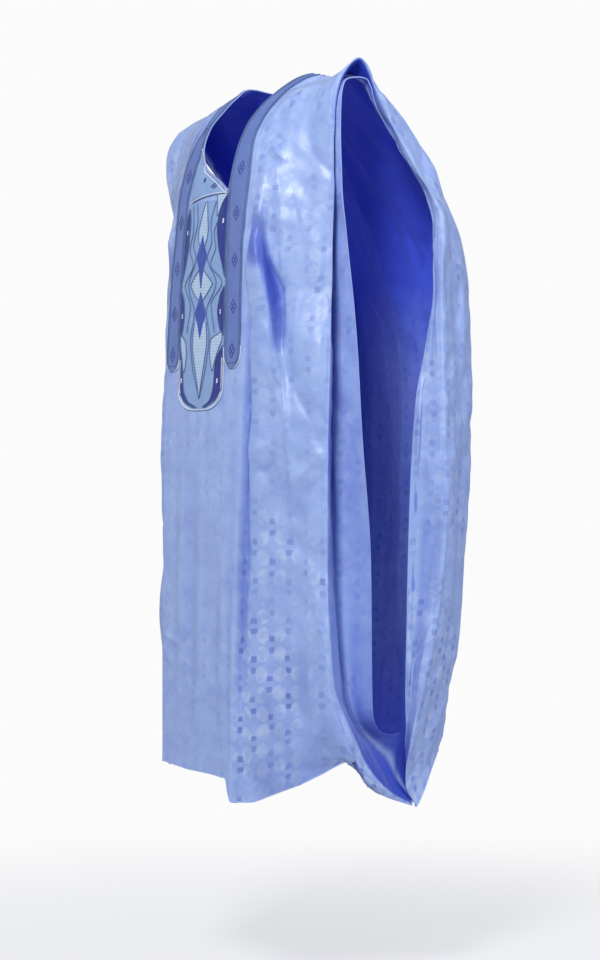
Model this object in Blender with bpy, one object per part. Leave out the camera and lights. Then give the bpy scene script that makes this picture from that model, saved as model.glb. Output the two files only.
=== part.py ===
# Grand boubou robe: a wide starched damask cloth worn over both shoulders, with its sides
# folded up into pleats, a deep neck opening and an embroidered front.
# Metres, +Z up. The wearer faces -Y, the wearer's left is +X.
# Origin: base of the neck, midway between the two neck-side points of the shoulders.

import math

import bpy
import numpy as np

# Named sizes
MM = 0.001
WALL = 0.0020
SEAM_GAP = 0.00050
APPLIED_THICKNESS = 0.0012
APPLIED_CLEARANCE = 0.00045
FOLD_REACH = 0.0045
STRIP_END = 0.490
TONGUE_START = 0.214
TONGUE_END = 0.555
STRIP_TO_TONGUE = 0.0025
STRIP_FROM_CORNER = 0.005
FLAP_FROM_X = -0.045
FLAP_TO_X = 0.055
FLAP_LOWER_START = 212
FLAP_LOWER_END = 204
FLAP_CLEARANCE = 0.0010
BAND_CLEARANCE = 0.0012
RIGHT_SIDE_SHARE = 0.96
RIGHT_SIDE_BACK = 4

# Distance down the cloth from the shoulder line, one value a row of the surface, in mm
STATIONS = (0, 14, 32, 56, 85, 120, 157, 178, 200, 245, 290, 350, 420, 500, 580, 660,
            740, 820, 890, 950, 1000, 1040, 1080, 1120, 1160, 1200)

# Every rib is a table of (distance down, x, y, z) in mm.
# Ribs of the front, from the middle out to the free edge, wearer's left
FRONT_LEFT = {
    "inner": ((0, 90, 30, -2), (14, 80, 8, -10), (32, 70, -18, -28), (56, 59, -51, -56),
              (85, 56, -75, -85), (120, 57, -94, -120), (157, 57, -107, -157),
              (200, 56, -116, -199), (290, 56, -127, -290), (420, 56, -131, -420),
              (600, 56, -137, -600), (800, 56, -141, -795), (1000, 56, -143, -975),
              (1200, 56, -144, -1147)),
    "corner": ((0, 112, 34, -8), (14, 108, 16, -11), (32, 103, -8, -23), (56, 97, -38, -49),
               (85, 97, -68, -83), (120, 101, -90, -119), (157, 112, -104, -157),
               (200, 118, -113, -200), (290, 120, -123, -290), (420, 117, -127, -420),
               (600, 115, -133, -600), (800, 112, -140, -797), (1000, 108, -144, -990),
               (1200, 105, -146, -1187)),
    "recess": ((0, 118, 34, -10), (56, 104, -40, -47), (120, 110, -86, -118),
               (200, 126, -108, -199), (290, 127, -115, -290), (420, 121, -108, -420),
               (600, 119, -113, -600), (800, 116, -120, -797), (1000, 112, -125, -990),
               (1200, 110, -129, -1187)),
    "crest": ((0, 126, 34, -12), (56, 114, -38, -47), (120, 121, -81, -118),
              (200, 138, -103, -199), (290, 140, -113, -290), (420, 141, -117, -420),
              (600, 139, -121, -600), (800, 136, -124, -797), (1000, 132, -121, -990),
              (1200, 129, -114, -1185)),
    "seam": ((0, 158, 33, -16), (14, 158, 20, -19), (32, 159, -4, -28), (56, 161, -28, -49),
             (85, 164, -46, -81), (120, 168, -58, -118), (200, 178, -68, -199),
             (290, 186, -74, -290), (420, 192, -78, -420), (600, 198, -82, -600),
             (800, 202, -83, -797), (1000, 203, -82, -985), (1200, 198, -76, -1155)),
    "crease": ((0, 195, 30, 2), (14, 197, 14, -10), (32, 198, -10, -29), (56, 199, -26, -53),
               (85, 200, -33, -85), (120, 203, -38, -119), (200, 208, -43, -200),
               (290, 214, -50, -290), (420, 221, -56, -420), (600, 228, -63, -600),
               (800, 233, -67, -795), (890, 236, -66, -882), (950, 240, -63, -935),
               (1000, 245, -58, -980), (1040, 247, -54, -1018), (1080, 247, -46, -1055),
               (1120, 245, -36, -1083), (1160, 243, -25, -1104), (1200, 240, -12, -1116)),
    "ridge": ((0, 225, 26, 12), (14, 224, 4, -6), (32, 222, -11, -30), (56, 222, -20, -56),
              (85, 222, -23, -86), (120, 222, -24, -120), (200, 225, -26, -200),
              (290, 229, -31, -290), (420, 236, -40, -420), (600, 242, -50, -600),
              (800, 246, -55, -795), (890, 248, -55, -890), (950, 249, -51, -950),
              (1000, 250, -44, -1000), (1040, 250, -27, -1040), (1080, 246, -1, -1086),
              (1120, 236, 36, -1137), (1160, 222, 85, -1174), (1200, 205, 146, -1202)),
    "valley": ((0, 178, 27, -14), (14, 182, 8, -24), (32, 187, -6, -45), (56, 190, -15, -66),
               (85, 191, -18, -92), (120, 192, -19, -122), (200, 193, -15, -200),
               (290, 191, -12, -290), (420, 189, -10, -420), (600, 187, -8, -600),
               (800, 190, -4, -797), (890, 194, 0, -892), (950, 198, 4, -960),
               (1000, 203, 12, -1025), (1040, 206, 30, -1068), (1080, 203, 60, -1102),
               (1120, 200, 92, -1132), (1160, 196, 118, -1166), (1200, 196, 146, -1195)),
    "edge": ((0, 222, 27, -36), (14, 222, 8, -40), (32, 222, -4, -50), (56, 222, -10, -69),
             (85, 222, -11, -94), (120, 223, -12, -124), (200, 226, -12, -200),
             (290, 230, -4, -290), (420, 235, 8, -420), (600, 240, 18, -600),
             (800, 243, 33, -800), (890, 243, 35, -898), (950, 243, 36, -985),
             (1000, 242, 39, -1046), (1040, 232, 63, -1076), (1080, 212, 101, -1083),
             (1120, 196, 131, -1080), (1160, 190, 143, -1140), (1200, 195, 153, -1198)),
}

# Ribs of the back, from the middle out to the free edge, wearer's left
BACK_LEFT = {
    "inner": ((0, 90, 30, -2), (14, 80, 56, -10), (32, 50, 76, -19), (56, 0, 87, -28),
              (85, 0, 108, -63), (120, 0, 135, -105), (157, 0, 160, -151), (200, 0, 186, -199),
              (290, 0, 229, -290), (420, 0, 262, -420), (540, 0, 272, -540), (700, 0, 273, -700),
              (866, 0, 269, -862), (1000, 0, 263, -988), (1200, 0, 254, -1163)),
    "seam": ((0, 158, 33, -16), (14, 158, 47, -22), (32, 156, 64, -35), (56, 153, 91, -57),
             (85, 150, 122, -86), (120, 146, 152, -121), (157, 142, 180, -158),
             (200, 137, 209, -200), (245, 132, 235, -245), (290, 128, 255, -290),
             (350, 124, 271, -350), (420, 121, 280, -420), (540, 118, 285, -540),
             (700, 116, 283, -700), (866, 114, 277, -862), (1000, 112, 270, -986),
             (1200, 110, 256, -1152)),
    "crease": ((0, 195, 30, 2), (14, 198, 49, -8), (32, 201, 72, -28), (56, 203, 101, -55),
               (85, 204, 132, -85), (120, 202, 164, -121), (157, 197, 193, -158),
               (200, 190, 221, -200), (245, 183, 248, -245), (290, 176, 270, -290),
               (350, 171, 286, -350), (420, 168, 294, -420), (540, 166, 298, -540),
               (650, 166, 294, -650), (770, 166, 286, -770), (870, 166, 279, -868),
               (950, 164, 269, -945), (1000, 163, 259, -988), (1080, 163, 246, -1050),
               (1200, 161, 230, -1120)),
    "ridge": ((0, 225, 26, 12), (14, 225, 40, -5), (32, 225, 51, -31), (56, 225, 64, -56),
              (85, 226, 82, -87), (120, 227, 105, -122), (157, 228, 129, -157),
              (200, 231, 160, -199), (245, 232, 181, -245), (350, 232, 181, -350),
              (540, 233, 187, -540), (700, 234, 190, -700), (866, 232, 182, -866),
              (950, 228, 163, -950), (1000, 226, 152, -1003), (1040, 222, 142, -1050),
              (1080, 218, 133, -1098), (1120, 212, 127, -1140), (1160, 206, 131, -1172),
              (1200, 199, 158, -1206)),
    "valley": ((0, 178, 27, -14), (14, 184, 43, -26), (32, 192, 58, -47), (56, 200, 73, -68),
               (85, 207, 90, -94), (120, 213, 111, -125), (157, 219, 135, -159),
               (200, 221, 166, -201), (245, 222, 186, -246), (350, 221, 185, -350),
               (450, 220, 177, -450), (540, 219, 165, -540), (700, 217, 160, -700),
               (866, 213, 157, -866),
               (1000, 209, 146, -1003), (1080, 207, 138, -1088), (1120, 203, 135, -1122),
               (1160, 198, 141, -1162), (1200, 196, 161, -1203)),
    "edge": ((0, 222, 27, -36), (14, 222, 42, -40), (32, 222, 54, -52), (56, 217, 70, -71),
             (85, 213, 88, -96), (120, 211, 113, -127), (157, 211, 139, -161),
             (200, 212, 169, -202), (245, 213, 189, -247), (350, 212, 187, -350),
             (450, 210, 170, -450), (540, 208, 151, -540), (700, 205, 141, -700),
             (866, 203, 137, -866),
             (1000, 200, 136, -1003), (1080, 198, 139, -1075), (1120, 194, 141, -1100),
             (1160, 188, 149, -1150), (1200, 190, 161, -1198)),
}

# The right shoulder hangs low over the upper arm; below it the right side mirrors the left.
FRONT_RIGHT = {
    "inner": ((0, -90, 30, -6), (14, -80, 8, -12), (32, -70, -18, -29), (56, -60, -50, -56),
              (85, -52, -79, -85), (120, -45, -97, -120), (157, -20, -107, -157),
              (178, 20, -112, -178), (200, 56, -116, -199)),
    "middle": ((0, -98, 31, -9), (32, -84, -13, -28), (85, -72, -73, -84), (120, -67, -94, -120),
               (157, -48, -109, -157), (178, -25, -115, -178), (200, -22, -120, -200),
               (290, -22, -130, -290), (420, -22, -135, -420), (600, -22, -139, -600),
               (800, -22, -141, -795), (1000, -22, -143, -975), (1200, -22, -144, -1144)),
    "corner": ((0, -112, 28, -15), (14, -108, 14, -18), (32, -103, -8, -30), (56, -97, -38, -52),
               (85, -93, -67, -84), (120, -92, -91, -120), (157, -94, -106, -157),
               (200, -97, -115, -200), (252, -98, -120, -252), (370, -103, -128, -370),
               (540, -107, -136, -540), (790, -108, -139, -787), (1000, -108, -141, -970),
               (1200, -107, -142, -1137)),
    "recess": ((0, -118, 27, -17), (56, -104, -39, -52), (120, -101, -87, -119),
               (200, -106, -108, -199), (290, -109, -112, -290), (420, -110, -110, -420),
               (600, -113, -114, -600), (800, -113, -118, -795), (1200, -112, -124, -1139)),
    "crest": ((0, -126, 26, -20), (56, -114, -37, -53), (120, -113, -82, -119),
              (200, -121, -102, -199), (290, -126, -110, -290), (420, -131, -115, -420),
              (600, -134, -119, -600), (800, -133, -122, -797), (1200, -130, -116, -1142)),
    "seam": ((0, -158, 22, -27), (14, -158, 8, -31), (32, -158, -10, -43), (56, -158, -31, -62),
             (85, -159, -49, -88), (120, -160, -60, -120), (157, -163, -66, -158),
             (200, -168, -70, -200), (290, -178, -74, -290)),
    "crease": ((0, -215, 16, -41), (14, -217, 5, -47), (32, -219, -9, -61), (56, -221, -23, -82),
               (85, -222, -33, -107), (120, -221, -38, -136), (157, -218, -42, -170),
               (200, -212, -45, -208), (245, -211, -48, -250), (290, -213, -51, -291)),
    "ridge": ((0, -253, 10, -54), (14, -262, -4, -62), (32, -269, -15, -77), (56, -273, -24, -97),
              (85, -274, -28, -122), (120, -271, -28, -150), (157, -263, -27, -183),
              (200, -248, -28, -220), (245, -236, -31, -255), (290, -231, -33, -294)),
    "valley": ((0, -214, 11, -80), (14, -219, 2, -87), (32, -225, -5, -100), (56, -228, -11, -119),
               (85, -228, -14, -145), (120, -227, -15, -169), (157, -221, -15, -197),
               (200, -209, -14, -229), (245, -198, -13, -260), (290, -193, -12, -295)),
    "edge": ((0, -250, 11, -94), (14, -254, 3, -101), (32, -259, -4, -114), (56, -262, -10, -132),
             (85, -262, -14, -154), (120, -260, -15, -177), (157, -254, -14, -203),
             (200, -243, -11, -233), (245, -234, -7, -263), (290, -231, -4, -297)),
}

BACK_RIGHT = {
    "inner": ((0, -90, 30, -6), (14, -80, 55, -12), (32, -50, 76, -20), (56, 0, 87, -28)),
    "seam": ((0, -158, 22, -27), (14, -158, 38, -34), (32, -156, 57, -48), (56, -153, 85, -68),
             (85, -150, 117, -94), (120, -146, 148, -126), (157, -142, 177, -161),
             (200, -137, 206, -202), (290, -128, 254, -291)),
    "crease": ((0, -215, 16, -41), (14, -216, 32, -52), (32, -216, 53, -72), (56, -214, 82, -94),
               (85, -210, 114, -120), (120, -205, 146, -149), (157, -198, 177, -179),
               (200, -190, 209, -213), (245, -182, 239, -250), (290, -175, 263, -292)),
    "ridge": ((0, -253, 10, -54), (14, -258, 25, -66), (32, -262, 39, -84), (56, -262, 55, -104),
              (85, -260, 75, -127), (120, -255, 98, -154), (157, -248, 122, -184),
              (200, -240, 149, -216), (245, -233, 169, -252), (290, -228, 181, -293)),
    "valley": ((0, -214, 11, -80), (14, -220, 25, -88), (32, -227, 39, -102), (56, -232, 55, -121),
               (85, -233, 75, -145), (120, -233, 97, -169), (157, -234, 119, -196),
               (200, -228, 141, -223), (245, -224, 158, -256), (290, -221, 166, -294)),
    "edge": ((0, -250, 11, -94), (14, -250, 24, -100), (32, -249, 37, -113), (56, -247, 52, -131),
             (85, -242, 71, -152), (120, -235, 91, -175), (157, -227, 110, -200),
             (200, -220, 131, -228), (245, -215, 148, -258), (290, -212, 155, -295)),
}

# Soft crease that crosses the flank: (distance down, share of the way crest to seam, depth mm)
FLANK_CREASE = ((0, 0.30, 0.0), (200, 0.15, 0.5), (290, 0.18, 6.0), (350, 0.38, 8.0),
                (420, 0.58, 8.0), (500, 0.70, 6.0), (600, 0.74, 3.5), (800, 0.74, 2.0),
                (1200, 0.74, 1.0))

# Inner edges of the two embroidered strips: (distance down, x) in mm
STRIP_INNER_LEFT = ((0, 91), (14, 81), (32, 71), (56, 60), (85, 57), (120, 58), (178, 58),
                    (200, 58.5), (245, 64), (300, 70), (600, 70))
STRIP_INNER_RIGHT = ((0, -91), (14, -81), (32, -71), (56, -61), (85, -54), (120, -48),
                     (157, -51), (200, -58), (245, -60), (600, -62))
# Slanting neck edge over the flap: (distance down, x) in mm
NECK_SLANT = ((120, -45), (157, -20), (178, 20), (200, 56))
# Band round the back of the neck: (distance down, inner x, outer x) in mm
NECKBAND = ((1.5, 91, 110), (14, 81, 104), (23, 66, 98), (32, 52, 91), (44, 28, 78),
            (57, 0, 58), (66, 0, 40), (76, 0, 14))

# Colours as linear values, from the lit side of each cloth
COLOURS = {
    "bazin_cloth": (0.338, 0.456, 0.838, 1.0),
    "embroidered_strip": (0.165, 0.230, 0.610, 1.0),
    "embroidered_tongue": (0.290, 0.430, 0.760, 1.0),
}


def slopes(knots, values):
    """Slopes of a smooth curve through the values that never overshoots them."""
    steps = np.diff(knots)
    rates = np.diff(values) / steps
    result = np.zeros(len(values))
    result[0] = rates[0]
    result[-1] = rates[-1]
    for i in range(1, len(values) - 1):
        before, after = rates[i - 1], rates[i]
        if before * after > 0:
            w1 = 2 * steps[i] + steps[i - 1]
            w2 = steps[i] + 2 * steps[i - 1]
            result[i] = (w1 + w2) / (w1 / before + w2 / after)
    return result


def curve_value(knots, values, tangents, at):
    """Cubic value at one place along the knots."""
    i = int(np.clip(np.searchsorted(knots, at) - 1, 0, len(knots) - 2))
    span = knots[i + 1] - knots[i]
    u = min((at - knots[i]) / span, 1.0)
    return ((2 * u ** 3 - 3 * u ** 2 + 1) * values[i]
            + (u ** 3 - 2 * u ** 2 + u) * span * tangents[i]
            + (3 * u ** 2 - 2 * u ** 3) * values[i + 1]
            + (u ** 3 - u ** 2) * span * tangents[i + 1])


def follow(table):
    """Rows of points (metres) along a rib, one for every station."""
    data = np.array(table, float)
    columns = []
    for k in range(1, data.shape[1]):
        tangents = slopes(data[:, 0], data[:, k])
        columns.append([curve_value(data[:, 0], data[:, k], tangents, s) for s in STATIONS])
    return np.array(columns).T


def mirrored(table):
    """The same rib on the wearer's right, drawn in a little."""
    return tuple((down, -x * RIGHT_SIDE_SHARE, y + RIGHT_SIDE_BACK, z) for down, x, y, z in table)


def completed(shoulder, left):
    """A right rib: its own shoulder rows, then the left rib mirrored below them."""
    last = shoulder[-1][0]
    return shoulder + tuple(row for row in mirrored(left) if row[0] > last + 40)


def inner_line(shoulder, left, join):
    """The right inner line: its own rows above the join, the left half's rows below it."""
    rows = follow(shoulder) * MM
    shared = follow(left) * MM
    for i, down in enumerate(STATIONS):
        if down >= join:
            rows[i] = shared[i]
    return rows


def spread(a, b, count):
    """Points between a and b, both left out."""
    return [a + (b - a) * (k + 1) / (count + 1) for k in range(count)]


def rounded(before, fold, after):
    """Three points that turn the cloth round a pressed fold."""
    reach_in = min(FOLD_REACH, 0.35 * np.linalg.norm(before - fold))
    reach_out = min(FOLD_REACH, 0.35 * np.linalg.norm(after - fold))
    a = fold + (before - fold) / np.linalg.norm(before - fold) * reach_in
    b = fold + (after - fold) / np.linalg.norm(after - fold) * reach_out
    return [a, 0.25 * a + 0.5 * fold + 0.25 * b, b]


def front_centre_row(ribs, row, left):
    """One row of the front panel from its inner line to the side seam."""
    inner, corner = ribs["inner"][row], ribs["corner"][row]
    recess, crest, seam = ribs["recess"][row], ribs["crest"][row], ribs["seam"][row]
    share, depth = ribs["flank"][row][0], ribs["flank"][row][1] * MM
    inward = np.array([-0.6 if left else 0.6, 0.8, 0.0])
    crease = crest + (seam - crest) * share + inward * depth
    if left:
        near = inner + (corner - inner) * 0.70
        level = np.clip((STATIONS[row] - 950) / 250, 0, 1)
        near[2] += (inner[2] - near[2]) * 0.9 * level
        flat = spread(inner, near, 2) + [near] + spread(near, corner, 1)
    else:
        flat = spread(inner, ribs["middle"][row], 1) + [ribs["middle"][row]]
        flat += spread(ribs["middle"][row], corner, 2)
    points = [inner] + flat + rounded(flat[-1], corner, recess)
    return points + [recess, crest] + spread(crest, crease, 1) + [crease] + spread(crease, seam, 1) + [seam]


def back_centre_row(ribs, row):
    """One row of the back panel; its columns match those of the front panel."""
    inner, seam = ribs["inner"][row], ribs["seam"][row]
    middle = inner + (seam - inner) * 0.5
    middle[1] += 0.004 * np.clip((STATIONS[row] - 56) / 200, 0, 1)
    return [inner] + spread(inner, middle, 5) + [middle] + spread(middle, seam, 6) + [seam]


def wing_row(ribs, row, front):
    """One row of a side panel, from its seam over the pleat to the free edge."""
    seam, crease, ridge = ribs["seam"][row], ribs["crease"][row], ribs["ridge"][row]
    valley, edge = ribs["valley"][row], ribs["edge"][row]
    between = spread(crease, ridge, 1)[0]
    if front:
        sag = 16 * MM * np.clip((STATIONS[row] - 1040) / 160, 0, 1)
        between = between - np.array([0.0, 0.0, sag])
    points = [seam] + spread(seam, crease, 1) + [crease, between]
    points += rounded(between, ridge, valley)
    points += spread(ridge, valley, 1)
    if front:
        points += rounded(ridge, valley, edge)
    else:
        points += spread(ridge + (valley - ridge) * 0.75, edge, 3)
    return points + spread(valley, edge, 1) + [edge]


def half_rows(left):
    """All rows of one half of the robe, front hem to back hem, as (centre, wing) points."""
    front_source = FRONT_LEFT if left else FRONT_RIGHT
    back_source = BACK_LEFT if left else BACK_RIGHT
    front, back = {}, {}
    for name, table in front_source.items():
        if not left and name in ("seam", "crease", "ridge", "valley", "edge"):
            table = completed(table, FRONT_LEFT[name])
        front[name] = follow(table) * MM
    for name, table in back_source.items():
        if not left:
            table = completed(table, BACK_LEFT[name])
        back[name] = follow(table) * MM
    if not left:
        front["inner"] = inner_line(FRONT_RIGHT["inner"], FRONT_LEFT["inner"], 200)
        back["inner"] = inner_line(BACK_RIGHT["inner"], BACK_LEFT["inner"], 56)
    front["flank"] = follow(FLANK_CREASE)
    rows = []
    last = len(STATIONS) - 1
    for row in range(last, -1, -1):
        rows.append((front_centre_row(front, row, left), wing_row(front, row, True)))
    for row in range(1, last + 1):
        rows.append((back_centre_row(back, row), wing_row(back, row, False)))
    return rows


class Surface:
    """The whole robe as one welded surface, with the piece each face belongs to."""

    def __init__(self):
        self.points = []
        self.faces = []
        self.pieces = []
        self.index = {}
        self.grid = {}

    def vertex(self, point):
        key = tuple(np.round(point, 5))
        if key not in self.index:
            self.index[key] = len(self.points)
            self.points.append(np.array(point))
        return self.index[key]

    def add_half(self, rows, left):
        """Faces of one half; the shoulder row parts front from back."""
        shoulder = len(STATIONS) - 1
        side = "left" if left else "right"
        centre = [[self.vertex(p) for p in row[0]] for row in rows]
        wing = []
        for row, inner in zip(rows, centre):
            wing.append([inner[-1]] + [self.vertex(p) for p in row[1][1:]])
        self.grid[side] = (centre, wing)
        for block, part in ((centre, "centre"), (wing, "wing")):
            for r in range(len(block) - 1):
                if part == "wing":
                    name = "side_panel_" + side
                else:
                    name = "front_panel" if r < shoulder else "back_panel"
                for c in range(len(block[r]) - 1):
                    quad = [block[r][c], block[r][c + 1], block[r + 1][c + 1], block[r + 1][c]]
                    if not left:
                        quad.reverse()
                    face = []
                    for v in quad:
                        if v not in face:
                            face.append(v)
                    if len(face) > 2:
                        self.faces.append(face)
                        self.pieces.append(name)

    def finish(self):
        """Normals of the welded surface, weighted by area."""
        self.points = np.array(self.points)
        self.normals = np.zeros_like(self.points)
        for face in self.faces:
            corners = self.points[face]
            across = corners[1:-1] - corners[0]
            along = corners[2:] - corners[0]
            normal = np.cross(across, along).sum(axis=0)
            for v in face:
                self.normals[v] += normal
        self.normals /= np.linalg.norm(self.normals, axis=1)[:, None]


def thick_shell(points, normals, faces, thickness):
    """Closed body: the surface moved out and in by half the thickness, with edges closed."""
    count = len(points)
    outer = points + normals * thickness / 2
    inner = points - normals * thickness / 2
    solid = [list(f) for f in faces] + [[v + count for v in reversed(f)] for f in faces]
    edges = {}
    for face in faces:
        for a, b in zip(face, face[1:] + face[:1]):
            edges[(a, b)] = True
    for a, b in list(edges):
        if (b, a) not in edges:
            solid.append([b, a, a + count, b + count])
    return np.vstack([outer, inner]), solid


def make_material(name):
    """Plain cloth material with the colour of the lit cloth."""
    material = bpy.data.materials.new(name)
    material.use_nodes = True
    shader = material.node_tree.nodes["Principled BSDF"]
    shader.inputs["Base Color"].default_value = COLOURS[name]
    shader.inputs["Roughness"].default_value = 0.45
    shader.inputs["Metallic"].default_value = 0.0
    material.diffuse_color = COLOURS[name]
    return material


def make_object(name, points, faces, material):
    """One named mesh object with smooth shading and sharp folds."""
    mesh = bpy.data.meshes.new(name)
    mesh.from_pydata([tuple(p) for p in points], [], faces)
    mesh.update()
    mesh.materials.append(material)
    mesh.shade_smooth()
    mesh.set_sharp_from_angle(angle=math.radians(35))
    item = bpy.data.objects.new(name, mesh)
    bpy.context.scene.collection.objects.link(item)
    return item


def panel(surface, name, material):
    """One cut piece of the robe: its faces, drawn back a little where it meets the next."""
    own = [f for f, piece in zip(surface.faces, surface.pieces) if piece == name]
    used = sorted({v for f in own for v in f})
    others = {v for f, piece in zip(surface.faces, surface.pieces) if piece != name for v in f}
    neighbours = {v: set() for v in used}
    for f in own:
        for a, b in zip(f, f[1:] + f[:1]):
            neighbours[a].add(b)
            neighbours[b].add(a)
    points = surface.points.copy()
    for v in used:
        if v in others:
            inside = [n for n in neighbours[v] if n not in others]
            if not inside:
                inside = [m for n in neighbours[v] for m in neighbours[n] if m not in others]
            pull = surface.points[inside].mean(axis=0) - surface.points[v]
            points[v] = surface.points[v] + pull / np.linalg.norm(pull) * SEAM_GAP / 2 * 1.4
    renumber = {v: i for i, v in enumerate(used)}
    faces = [[renumber[v] for v in f] for f in own]
    shell = thick_shell(points[used], surface.normals[used], faces, WALL)
    return make_object(name, shell[0], shell[1], material)


class Chart:
    """Finds places on the front or back panel from a distance down and an x."""

    def __init__(self, surface, side, front):
        rows = surface.grid[side][0]
        shoulder = len(STATIONS) - 1
        chosen = rows[shoulder::-1] if front else rows[shoulder:]
        self.rows = [(surface.points[r], surface.normals[r]) for r in chosen]

    def on_row(self, row, x):
        points, normals = self.rows[row]
        xs = points[:, 0]
        order = slice(None) if xs[-1] > xs[0] else slice(None, None, -1)
        xs, p, n = xs[order], points[order], normals[order]
        reach = int(np.argmax(np.diff(xs) <= 0)) + 1 if (np.diff(xs) <= 0).any() else len(xs)
        if xs[0] < 0 and order != slice(None):
            reach = len(xs)
        x = np.clip(x, xs[0], xs[:reach].max())
        return (np.array([np.interp(x, xs, p[:, k]) for k in range(3)]),
                np.array([np.interp(x, xs, n[:, k]) for k in range(3)]))

    def at(self, down, x):
        """Point and normal at a distance down (mm) and an x (metres)."""
        row = int(np.clip(np.searchsorted(STATIONS, down, side="right") - 1, 0, len(STATIONS) - 2))
        share = (down - STATIONS[row]) / (STATIONS[row + 1] - STATIONS[row])
        p0, n0 = self.on_row(row, x)
        p1, n1 = self.on_row(row + 1, x)
        normal = n0 + (n1 - n0) * share
        return p0 + (p1 - p0) * share, normal / np.linalg.norm(normal)


def applied_piece(name, place, grids, material, clearance=APPLIED_CLEARANCE):
    """A flat piece laid on the robe. A grid holds rows of (distance down, x); grids may join."""
    height = WALL / 2 + clearance + APPLIED_THICKNESS / 2
    points, normals, index, faces = [], [], {}, []
    for grid in grids:
        numbers = []
        for row in grid:
            numbers.append([])
            for down, x in row:
                key = (round(down, 3), round(x, 6))
                if key not in index:
                    index[key] = len(points)
                    point, normal = place(down, x)
                    points.append(point + normal * height)
                    normals.append(normal)
                numbers[-1].append(index[key])
        for upper, lower in zip(numbers, numbers[1:]):
            for c in range(len(upper) - 1):
                face = [upper[c], lower[c], lower[c + 1], upper[c + 1]]
                corners = np.array([points[v] for v in face])
                facing = np.cross(corners[2] - corners[0], corners[3] - corners[1])
                if facing @ normals[face[0]] < 0:
                    face.reverse()
                faces.append(face)
    shell = thick_shell(np.array(points), np.array(normals), faces, APPLIED_THICKNESS)
    return make_object(name, shell[0], shell[1], material)


def across_rows(rows, columns):
    """Grid from rows of (distance down, first x, last x)."""
    return [[(down, first + (last - first) * c / columns) for c in range(columns + 1)]
            for down, first, last in rows]


def end_rows(start, end, first, last, steps, fullness):
    """Rows of a rounded end: the width closes in as the end comes near."""
    rows = []
    middle, half = (first + last) / 2, (last - first) / 2
    for k in range(1, steps + 1):
        turn = math.pi / 2 * k / (steps + 0.35)
        width = half * math.cos(turn) ** fullness
        rows.append((start + (end - start) * math.sin(turn), middle - width, middle + width))
    return rows


def read_line(line, down):
    """Value of a short (distance down, x) line, in metres."""
    return float(np.interp(down, [r[0] for r in line], [r[1] for r in line])) * MM


def strip_rows(inner_edge, corner_rows, sign):
    """Rows of a side strip from the shoulder to its rounded end."""
    rows = []
    for row, down in enumerate(STATIONS):
        if down > 440:
            break
        outer = corner_rows[row][0] - sign * STRIP_FROM_CORNER
        rows.append((max(down, 1.5), read_line(inner_edge, down), outer))
    full = STRIP_END / MM - 24
    rows.append((full, rows[-1][1], rows[-1][2]))
    return rows + end_rows(full, STRIP_END / MM, rows[-1][1], rows[-1][2], 3, 0.8)


def tongue_rows():
    """Rows of the middle panel of the embroidery, from the flap to its rounded end."""
    rows = []
    for down in (TONGUE_START / MM,) + tuple(d for d in STATIONS if 240 < d < 501):
        first = read_line(STRIP_INNER_RIGHT, down) + STRIP_TO_TONGUE
        last = read_line(STRIP_INNER_LEFT, down) - STRIP_TO_TONGUE
        rows.append((down, first, last))
    full = TONGUE_END / MM - 34
    rows.append((full, rows[-1][1], rows[-1][2]))
    return rows + end_rows(full, TONGUE_END / MM, rows[-1][1], rows[-1][2], 4, 0.6)


def flap_grid():
    """Grid of the neck flap: its upper edge is the neck edge, its lower edge is nearly level."""
    columns = []
    for k in range(9):
        x = FLAP_FROM_X + (FLAP_TO_X - FLAP_FROM_X) * k / 8
        upper = float(np.interp(x / MM, [r[1] for r in NECK_SLANT], [r[0] for r in NECK_SLANT]))
        lower = FLAP_LOWER_START + (FLAP_LOWER_END - FLAP_LOWER_START) * k / 8
        columns.append([(upper + 1 + (lower - upper - 1) * j / 4, x) for j in range(5)])
    return columns


def neckband_grids():
    """Grids of the band round the back of the neck, left half and right half."""
    left = across_rows([(down, inner * MM, outer * MM) for down, inner, outer in NECKBAND], 4)
    return [left, [[(down, -x) for down, x in row] for row in left]]


def build():
    """Make every piece of the robe."""
    for item in list(bpy.data.objects):
        bpy.data.objects.remove(item, do_unlink=True)
    materials = {name: make_material(name) for name in COLOURS}
    surface = Surface()
    surface.add_half(half_rows(True), True)
    surface.add_half(half_rows(False), False)
    surface.finish()
    for name in ("front_panel", "back_panel", "side_panel_left", "side_panel_right"):
        panel(surface, name, materials["bazin_cloth"])

    front_left = Chart(surface, "left", True)
    front_right = Chart(surface, "right", True)
    back_left = Chart(surface, "left", False)
    back_right = Chart(surface, "right", False)
    corner_left = follow(FRONT_LEFT["corner"]) * MM
    corner_right = follow(FRONT_RIGHT["corner"]) * MM
    split = FRONT_LEFT["inner"][-1][1] * MM

    def on_front(down, x):
        return (front_left if x > split else front_right).at(down, x)

    def on_back(down, x):
        return (back_left if x >= 0 else back_right).at(down, x)

    strip, tongue = materials["embroidered_strip"], materials["embroidered_tongue"]
    rows = strip_rows(STRIP_INNER_LEFT, corner_left, 1)
    applied_piece("strip_left", front_left.at, [across_rows(rows, 4)], strip)
    rows = strip_rows(STRIP_INNER_RIGHT, corner_right, -1)
    applied_piece("strip_right", front_right.at, [across_rows(rows, 4)], strip)
    applied_piece("tongue", on_front, [across_rows(tongue_rows(), 10)], tongue)
    applied_piece("neck_flap", on_front, [flap_grid()], strip, FLAP_CLEARANCE)
    applied_piece("neckband_back", on_back, neckband_grids(), strip, BAND_CLEARANCE)


build()
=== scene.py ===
import math

import bpy
import numpy as np
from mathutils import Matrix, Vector, noise


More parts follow.
